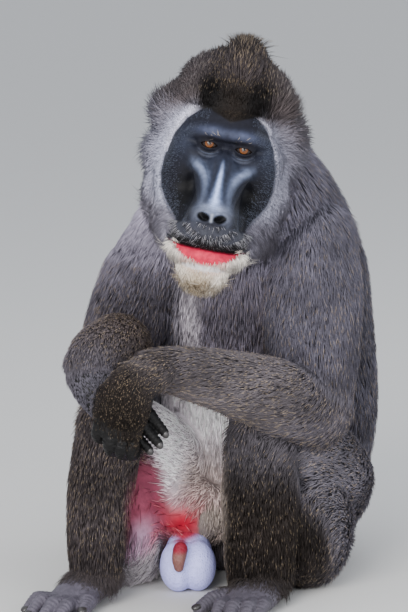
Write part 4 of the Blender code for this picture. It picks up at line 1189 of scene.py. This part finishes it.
def grow_bristles(name, count, seed, keep, lie, length, width, lift, tone):
    """Single hairs on bare skin, each of one colour."""
    root, normal, rng = scatter(head, int(count * EVERY), seed, keep)
    p = to_head(root)
    q = face_plane(p)
    turned = lie(q) @ np.array(HEAD_PLACE.to_3x3()).T
    size = length * rng.uniform(0.55, 1.35, len(q))
    shade = tone(q, rng)
    thick = np.full(len(q), width / math.sqrt(EVERY))
    tones = (shade * 0.7, shade, shade)
    return tufts(name, root, normal, turned, size, thick, size * lift, size * 0.15, tones, head_place(p),
                 coat, rng, 0.42, 0.20)


def from_nose(q):
    """Down and out from under the nose."""
    return np.stack([q[:, 0] * 0.055, np.full(len(q), -0.1), np.full(len(q), -1.0)], axis=1)


def from_middle(q):
    """Straight out from the middle of the face."""
    return np.stack([q[:, 0], np.full(len(q), 6.0), q[:, 1] + 20], axis=1)


def upward(q):
    return np.stack([q[:, 0] * 0.03, np.full(len(q), -0.6), np.full(len(q), 1.0)], axis=1)


def muzzle_tone(q, rng):
    """Pale and dark mixed under the nose, nearly all black at the mouth line."""
    black = rng.random(len(q)) < 0.56 + 0.34 * smoothstep(-113, -120, q[:, 1])
    return np.where(black[:, None], (0.016, 0.015, 0.017), (0.40, 0.39, 0.42))


def stubble_tone(q, rng):
    return np.tile((0.080, 0.091, 0.125), (len(q), 1)) * rng.uniform(0.55, 1.25, (len(q), 1))


def brow_tone(q, rng):
    return np.tile((0.42, 0.35, 0.27), (len(q), 1))


BROW_COUNT = round(26 / EVERY)
BROW_WIDTH = 0.0006 * math.sqrt(EVERY)

coats = []
for half, seed in (("a", 21), ("b", 22)):
    coats.append(grow_head("crown_coat_" + half, 13000, seed, is_crown, head_length, 0.0012, 0.55, 0.20))
    coats.append(grow_head("ruff_coat_" + half, 20000, seed + 10, is_ruff, head_length, 0.0012, 0.42, 0.15))
coats += [
    grow_head("crown_ticks", 9000, 31, is_ticked, head_length, 0.0009, 0.80, 0.18, True),
    grow_head("beard", 11000, 41, is_beard, beard_length, 0.0011, 0.42, 0.20, False, 0.6),
    grow_bristles("muzzle_bristles", 4800, 42, is_muzzle, from_nose, 0.0100, 0.00042, 0.20, muzzle_tone),
    grow_bristles("mask_stubble", 9000, 43, is_stubbled, from_middle, 0.0032, 0.00065, 0.45, stubble_tone),
    grow_bristles("brow_hairs", BROW_COUNT, 44, is_brow, upward, 0.0125, BROW_WIDTH, 0.9, brow_tone),
]

# Coats of the body
COAT_GAIN = 1.15
FIRST_EXTREMITY = REGION_NAMES.index("palm_left")


def mottle(points):
    """Slow light and dark over the coat."""
    x, y, z = (points * 60).T
    wave = np.sin(x + 2 * np.sin(0.7 * y)) * np.sin(1.3 * z + 1.5 * np.sin(0.9 * x))
    return 1 + 0.15 * (wave + np.sin(0.8 * y - 1.1 * z))


def limb_of(region):
    """The lower arm or leg in place of its hand or foot, for a place on the trunk's skin."""
    return np.where(region >= FIRST_EXTREMITY, 2 * (region - FIRST_EXTREMITY + 1), region)


def grow_body(name, source, count, seed, keep, width=0.0014, ticks=False):
    """A coat of the body on the source's skin, about `count` tufts where `keep` says."""
    root, normal, rng = scatter(source, int(count * EVERY), seed, keep)
    region, lie, base, place = body_field(root)
    if source is trunk:
        region = limb_of(region)
    lie = lie + np.array((0, 0, -0.35))
    colour = body_colour(root, region, base)
    pale = colour.mean(axis=1) > 0.22
    wrist = wrist_share(root, region)
    hanging = smoothstep(-0.2, -0.9, normal[:, 2])
    size = LENGTHS[region] * rng.uniform(0.75, 1.2, len(root))
    size *= 1 + 0.6 * hanging * is_in(region, "arm_left", "forearm_left", "arm_right", "forearm_right")
    size *= np.where(pale, 0.8, 1.0)
    size *= 1 + 0.7 * zone(root, *LONG_FRINGE)
    size *= 1 - 0.5 * wrist
    tint = rng.uniform(0.72, 1.28, (len(root), 1)) * mottle(root)[:, None]
    high = colour * COAT_GAIN * tint
    tips = high * 1.2
    if ticks:
        gold = ~pale & (rng.random(len(root)) > 0.9 * wrist)
        tips[gold] = np.array((0.44, 0.335, 0.22)) * tint[gold]
    thick = width * rng.uniform(0.7, 1.3, len(root)) / math.sqrt(EVERY)
    # Dark coats get darker roots, partly the hair's own base and partly painted shade deep in the coat; pale
    # coats hardly
    low = high * (0.45 + 0.55 * smoothstep(0.12, 0.45, colour.mean(axis=1)))[:, None]
    tones = [np.clip(t, 0, 1) for t in (low, high, tips)]
    lift = size * np.where(pale, 0.20, 0.42)
    widest = 0.78 if ticks else 0.42
    return tufts(name, root, normal, lie, size, thick, lift, lift * 0.5, tones, place, coat, rng, widest)


def anywhere(points):
    return 1


def behind(points):
    return points[:, 1] - 0.45 * points[:, 0] > 0.0


def in_front(points):
    return ~behind(points)


def part_of_body(*names, side=anywhere):
    """Where a coat grows: on the named regions, less in the groin."""
    def keep(points, normals):
        region = limb_of(body_field(points)[0])
        return is_in(region, *names) * body_bare(points) * side(points)
    return keep


def ticked(*names):
    """Where gold tips grow on the named regions, as dense as each has them."""
    def keep(points, normals):
        region = limb_of(body_field(points)[0])
        return TICKS[region] * is_in(region, *names) * body_bare(points)
    return keep


def back_of_hand(stations, ends, up):
    """Hair grows on the hand's or foot's back, and stops short of the digits."""
    last = np.array(stations[-1][:3])
    first = np.array(stations[0][:3])
    along = (last - first) / np.linalg.norm(last - first)

    def keep(points, normals):
        reach = (points - first) @ along / np.linalg.norm(last - first)
        return smoothstep(ends + 0.12, ends - 0.12, reach) * smoothstep(-0.1, 0.35, normals @ np.array(up))
    return keep


ARMS = ("arm_left", "forearm_left", "arm_right", "forearm_right")
LEGS = ("leg_left", "shin_left", "leg_right", "shin_right")
HAND_BACK, FOOT_BACK = (-0.3, -0.9, 0.3), (0, -0.3, 0.95)
left_hand_back = back_of_hand(PALM_LEFT, 1.05, HAND_BACK)
right_hand_back = back_of_hand(PALM_RIGHT, 0.95, HAND_BACK)
coats += [
    grow_body("back_coat", trunk, 20400, 51, part_of_body("trunk", "tail", side=behind)),
    grow_body("chest_coat", trunk, 15000, 52, part_of_body("trunk", side=in_front)),
    grow_body("arm_left_coat", trunk, 20000, 53, part_of_body(*ARMS[:2])),
    grow_body("arm_right_coat", trunk, 16000, 54, part_of_body(*ARMS[2:])),
    grow_body("leg_left_coat", trunk, 18000, 55, part_of_body(*LEGS[:2])),
    grow_body("leg_right_coat", trunk, 16000, 56, part_of_body(*LEGS[2:])),
    grow_body("upper_ticks", trunk, 20000, 57, ticked("trunk", *ARMS, "tail"), 0.0010, True),
    grow_body("leg_ticks", trunk, 9000, 58, ticked(*LEGS), 0.0010, True),
    grow_body("hand_left_hair", hand_left, 5200, 61, left_hand_back, 0.0009),
    grow_body("hand_left_ticks", hand_left, 1300, 65, left_hand_back, 0.0008, True),
    grow_body("hand_right_hair", hand_right, 4000, 62, right_hand_back, 0.0009),
    grow_body("foot_left_hair", foot_left, 2600, 63, back_of_hand(SOLE_LEFT, 0.85, FOOT_BACK), 0.0009),
    grow_body("foot_right_hair", foot_right, 2600, 64, back_of_hand(SOLE_RIGHT, 0.75, FOOT_BACK), 0.0009),
]


def thin(obj, ratio, chosen):
    """Joins the skin's faces into fewer where its vertices are chosen."""
    group = obj.vertex_groups.new(name="chosen")
    group.add(np.nonzero(chosen)[0].tolist(), 1.0, "REPLACE")
    mod = obj.modifiers.new("thin", "DECIMATE")
    mod.ratio = ratio
    mod.vertex_group = group.name
    settle(obj)
    obj.vertex_groups.clear()


# The coats are rooted on the fine skin; under them, and on the hands and feet, it needs fewer faces
extremities = (hand_left, hand_right, foot_left, foot_right)
thin(trunk, 0.55, body_bare(vertices(trunk)) > 0.98)
thin(head, 0.45, past_mask(to_head(vertices(head))) > 4)
for obj in extremities:
    thin(obj, 0.55, np.ones(len(obj.data.vertices), bool))

# Colours of the skin, then one piece of it all
DARK_SKIN = (0.0060, 0.0056, 0.0058)
points = vertices(trunk)
region, _, base, _ = body_field(points)
under = body_colour(points, region, base)
# Under the coat the skin is painted darker, as shade under the hair; bare skin keeps its full colour
save_colour(trunk, blend(under * 0.7, under, 1 - body_bare(points)))
for obj, tone in zip(extremities, (DARK_SKIN, DARK_SKIN, (0.074, 0.066, 0.082), (0.086, 0.077, 0.098))):
    save_colour(obj, tiled(tone, obj))
points = vertices(scrotum)
top = smoothstep(0.056, 0.067, points[:, 2] - 0.35 * np.abs(points[:, 0] + 0.048))
save_colour(scrotum, blend(tiled((0.52, 0.53, 1.0), scrotum), (0.36, 0.022, 0.052), top))
top = smoothstep(0.054, 0.062, vertices(sheath)[:, 2])
save_colour(sheath, blend(tiled((0.20, 0.086, 0.074), sheath), (0.24, 0.010, 0.028), top))
points = vertices(head)
p = to_head(points)
covered = hairy(points) * (p[:, 2] > -0.11)
# Under the head's coat the skin is painted as the hair's tone darkened, as shade under the hair
save_colour(head, blend(face_colour(points), head_tone(p)[0] * 0.55, covered))


def dress(obj, mat):
    """Gives the object its only material and smooth shading."""
    obj.data.materials.clear()
    obj.data.materials.append(mat)
    obj.data.shade_smooth()
    return obj


dress(trunk, skin_under)
dress(head, skin_face)
for obj in extremities:
    dress(obj, skin_bare)
for obj in (scrotum, sheath):
    dress(obj, skin_lilac)


def join(name, objects):
    """One object from several, keeping their materials and colours."""
    whole = objects[0]
    with bpy.context.temp_override(active_object=whole, selected_editable_objects=objects, object=whole):
        bpy.ops.object.join()
    whole.name = name
    return whole


skin = join("skin", [trunk, head, *extremities])
sack = join("scrotum_and_sheath", [scrotum, sheath])


def nail(joints, back):
    """A flat horny nail on the back of a digit's last joint."""
    tip, before = np.array(joints[-1][:3]), np.array(joints[-2][:3])
    radius = joints[-1][3]
    out = Vector(tip - before).normalized()
    up = Vector(back)
    up = (up - out * up.dot(out)).normalized()
    turn = Matrix((out.cross(up), out, up)).transposed()
    centre = Vector(tip) + out * radius * 0.42 + up * radius * 0.52
    return blob(centre, (radius * 0.74, radius * 0.88, radius * 0.42), turn, 3)


# Digits with a nail, and which way its back faces; the thumbs have none
NAILED = ((DIGITS_LEFT[:4], (0, -0.5, -0.85)), (DIGITS_RIGHT[:4], (-0.2, -0.9, 0.1)),
          (TOES_LEFT, (0, 0, 1)), (TOES_RIGHT, (0, 0, 1)))
nails = solid("nails", [nail(joints, back) for digits, back in NAILED for joints in digits])
save_colour(nails, tiled((0.026, 0.023, 0.023), nails))
dress(nails, material("nail", 0.30, 900, 0.15, 0.2, Specular_IOR_Level=0.6))

# The eye's rings, in degrees from the middle of its gaze
PUPIL, IRIS, IRIS_RIM = 11, 28, 32
CORNEA_BULGE = 0.0007


def eye_tone(off, turn):
    """The eyeball's colour by the angles from its gaze and round it, before the lid's shade."""
    if off < PUPIL:
        return (0.002, 0.002, 0.002)
    if off < IRIS:
        streak = 0.85 + 0.15 * math.sin(14 * turn) * math.sin(off)
        warm = 0.6 + 0.4 * (off - PUPIL) / (IRIS - PUPIL)
        return (0.185 * warm * streak, 0.060 * warm * streak, 0.010)
    if off < IRIS_RIM:
        return (0.020, 0.009, 0.005)
    return (0.016, 0.011, 0.010)


def eye(name, centre):
    """An eyeball with an amber iris and a small pupil, turned to look at the camera."""
    gaze = HEAD_PLACE.inverted().to_3x3() @ Vector((-0.02, -1, 0.13))
    turn = gaze.to_track_quat("Z", "Y").to_matrix().to_4x4()
    bm = bmesh.new()
    bmesh.ops.create_uvsphere(bm, u_segments=48, v_segments=96, radius=EYE_RADIUS - 0.0003)
    tones = []
    for v in bm.verts:
        off = math.degrees(math.acos(max(-1, min(1, v.co.normalized().z))))
        # Painted shadow of the upper lid darkens the top of the eyeball
        shade = 0.22 + 0.78 * max(0.0, min(1.0, (0.0040 - v.co.y) / 0.0050))
        tones.append([c * shade for c in eye_tone(off, math.atan2(v.co.y, v.co.x))])
        bulge = CORNEA_BULGE * max(0.0, 1 - (off / IRIS_RIM) ** 2)
        v.co *= 1 + bulge / EYE_RADIUS
    mesh = bpy.data.meshes.new(name)
    bm.to_mesh(mesh)
    bm.free()
    mesh.transform(HEAD_PLACE @ Matrix.Translation(Vector(centre)) @ turn)
    obj = bpy.data.objects.new(name, mesh)
    bpy.context.scene.collection.objects.link(obj)
    save_colour(obj, np.array(tones))
    return dress(obj, eye_surface)


eyes = [eye("eyeball_right", EYE_CENTRES[0]), eye("eyeball_left", EYE_CENTRES[1])]


def ear(name, sign):
    """A bare cupped ear, low at the side of the head behind the ruff."""
    tilt = Matrix.Rotation(sign * math.radians(-28), 4, "Z") @ Matrix.Rotation(sign * math.radians(8), 4, "Y")
    centre = Vector((sign * 0.090, 0.098, -0.004))
    obj = solid(name, place([blob(centre, (0.0095, 0.0175, 0.0245), tilt, 4)], HEAD_PLACE))
    bowl = centre + tilt.to_3x3() @ Vector((sign * 0.0095, -0.002, 0.001))
    cut(obj, solid("cutter", place([blob(bowl, (0.0090, 0.0130, 0.0190), tilt, 4)], HEAD_PLACE)))
    fuse(obj, 0.0010, 2)
    save_colour(obj, tiled((0.030, 0.026, 0.030), obj))
    return dress(obj, skin_bare)


ears = [ear("ear_skin_right", -1), ear("ear_skin_left", 1)]

shown = [skin, sack, nails, *eyes, *ears, *coats]
for obj in shown:
    obj.data.transform(Matrix.Translation(SHIFT))
    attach(obj, "root")
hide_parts("head", "neck", "chest", "abdomen", "pelvis", "upper_arm_left", "upper_arm_right",
            "forearm_left", "forearm_right", "hand_left", "hand_right", "thigh_left", "thigh_right",
            "shin_left", "shin_right", "foot_left", "foot_right", "tail")
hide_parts("scrotum", "sheath")
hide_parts("eye_right")
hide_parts("eye_left")
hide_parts("ear_right")
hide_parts("ear_left")

# Floor, world, lights and camera
bpy.ops.mesh.primitive_plane_add(size=60, location=(0, 0, 0))
floor = bpy.context.object
floor.name = "floor"
floor_surface = bpy.data.materials.new("floor")
floor_surface.use_nodes = True
set_inputs(floor_surface.node_tree.nodes["Principled BSDF"], Base_Color=(0.62, 0.61, 0.59, 1), Roughness=0.9)
floor.data.materials.append(floor_surface)

world = bpy.data.worlds.new("studio")
bpy.context.scene.world = world
world.use_nodes = True
set_inputs(world.node_tree.nodes["Background"], Color=(0.86, 0.91, 1.0, 1), Strength=0.95)


def area_light(name, location, target, size, power, colour):
    lamp = bpy.data.objects.new(name, bpy.data.lights.new(name, "AREA"))
    lamp.data.energy, lamp.data.size, lamp.data.color = power, size, colour
    lamp.location = location
    lamp.rotation_mode = "QUATERNION"
    lamp.rotation_quaternion = (Vector(target) - Vector(location)).to_track_quat("-Z", "Y")
    bpy.context.scene.collection.objects.link(lamp)


area_light("key", (-1.3, -2.9, 1.9), (0, 0, 0.35), 1.8, 108, (1.0, 0.98, 0.95))
area_light("top", (0.0, -0.6, 3.0), (0, 0, 0.4), 2.4, 18, (0.93, 0.96, 1.0))
area_light("low", (-0.5, -2.6, 0.45), (-0.03, -0.1, 0.14), 1.2, 36, (1.0, 0.99, 0.98))
area_light("fill", (1.8, -2.8, 1.1), (0, 0, 0.3), 1.8, 45, (0.95, 0.97, 1.0))
area_light("rim", (2.4, 1.2, 1.6), (0, 0, 0.4), 1.2, 18, (0.93, 0.96, 1.0))

CAMERA_DISTANCE = 4.2
CAMERA_LENS = 189
target = Vector((-0.021, 0, 0.3455)) + SHIFT
away = Vector((0, -math.cos(VIEW_DROP), math.sin(VIEW_DROP)))
camera = bpy.data.objects.new("camera", bpy.data.cameras.new("camera"))
bpy.context.scene.collection.objects.link(camera)
camera.location = target + away * CAMERA_DISTANCE
camera.rotation_mode = "QUATERNION"
camera.rotation_quaternion = (-away).to_track_quat("-Z", "Y")
camera.data.lens = CAMERA_LENS
bpy.context.scene.camera = camera
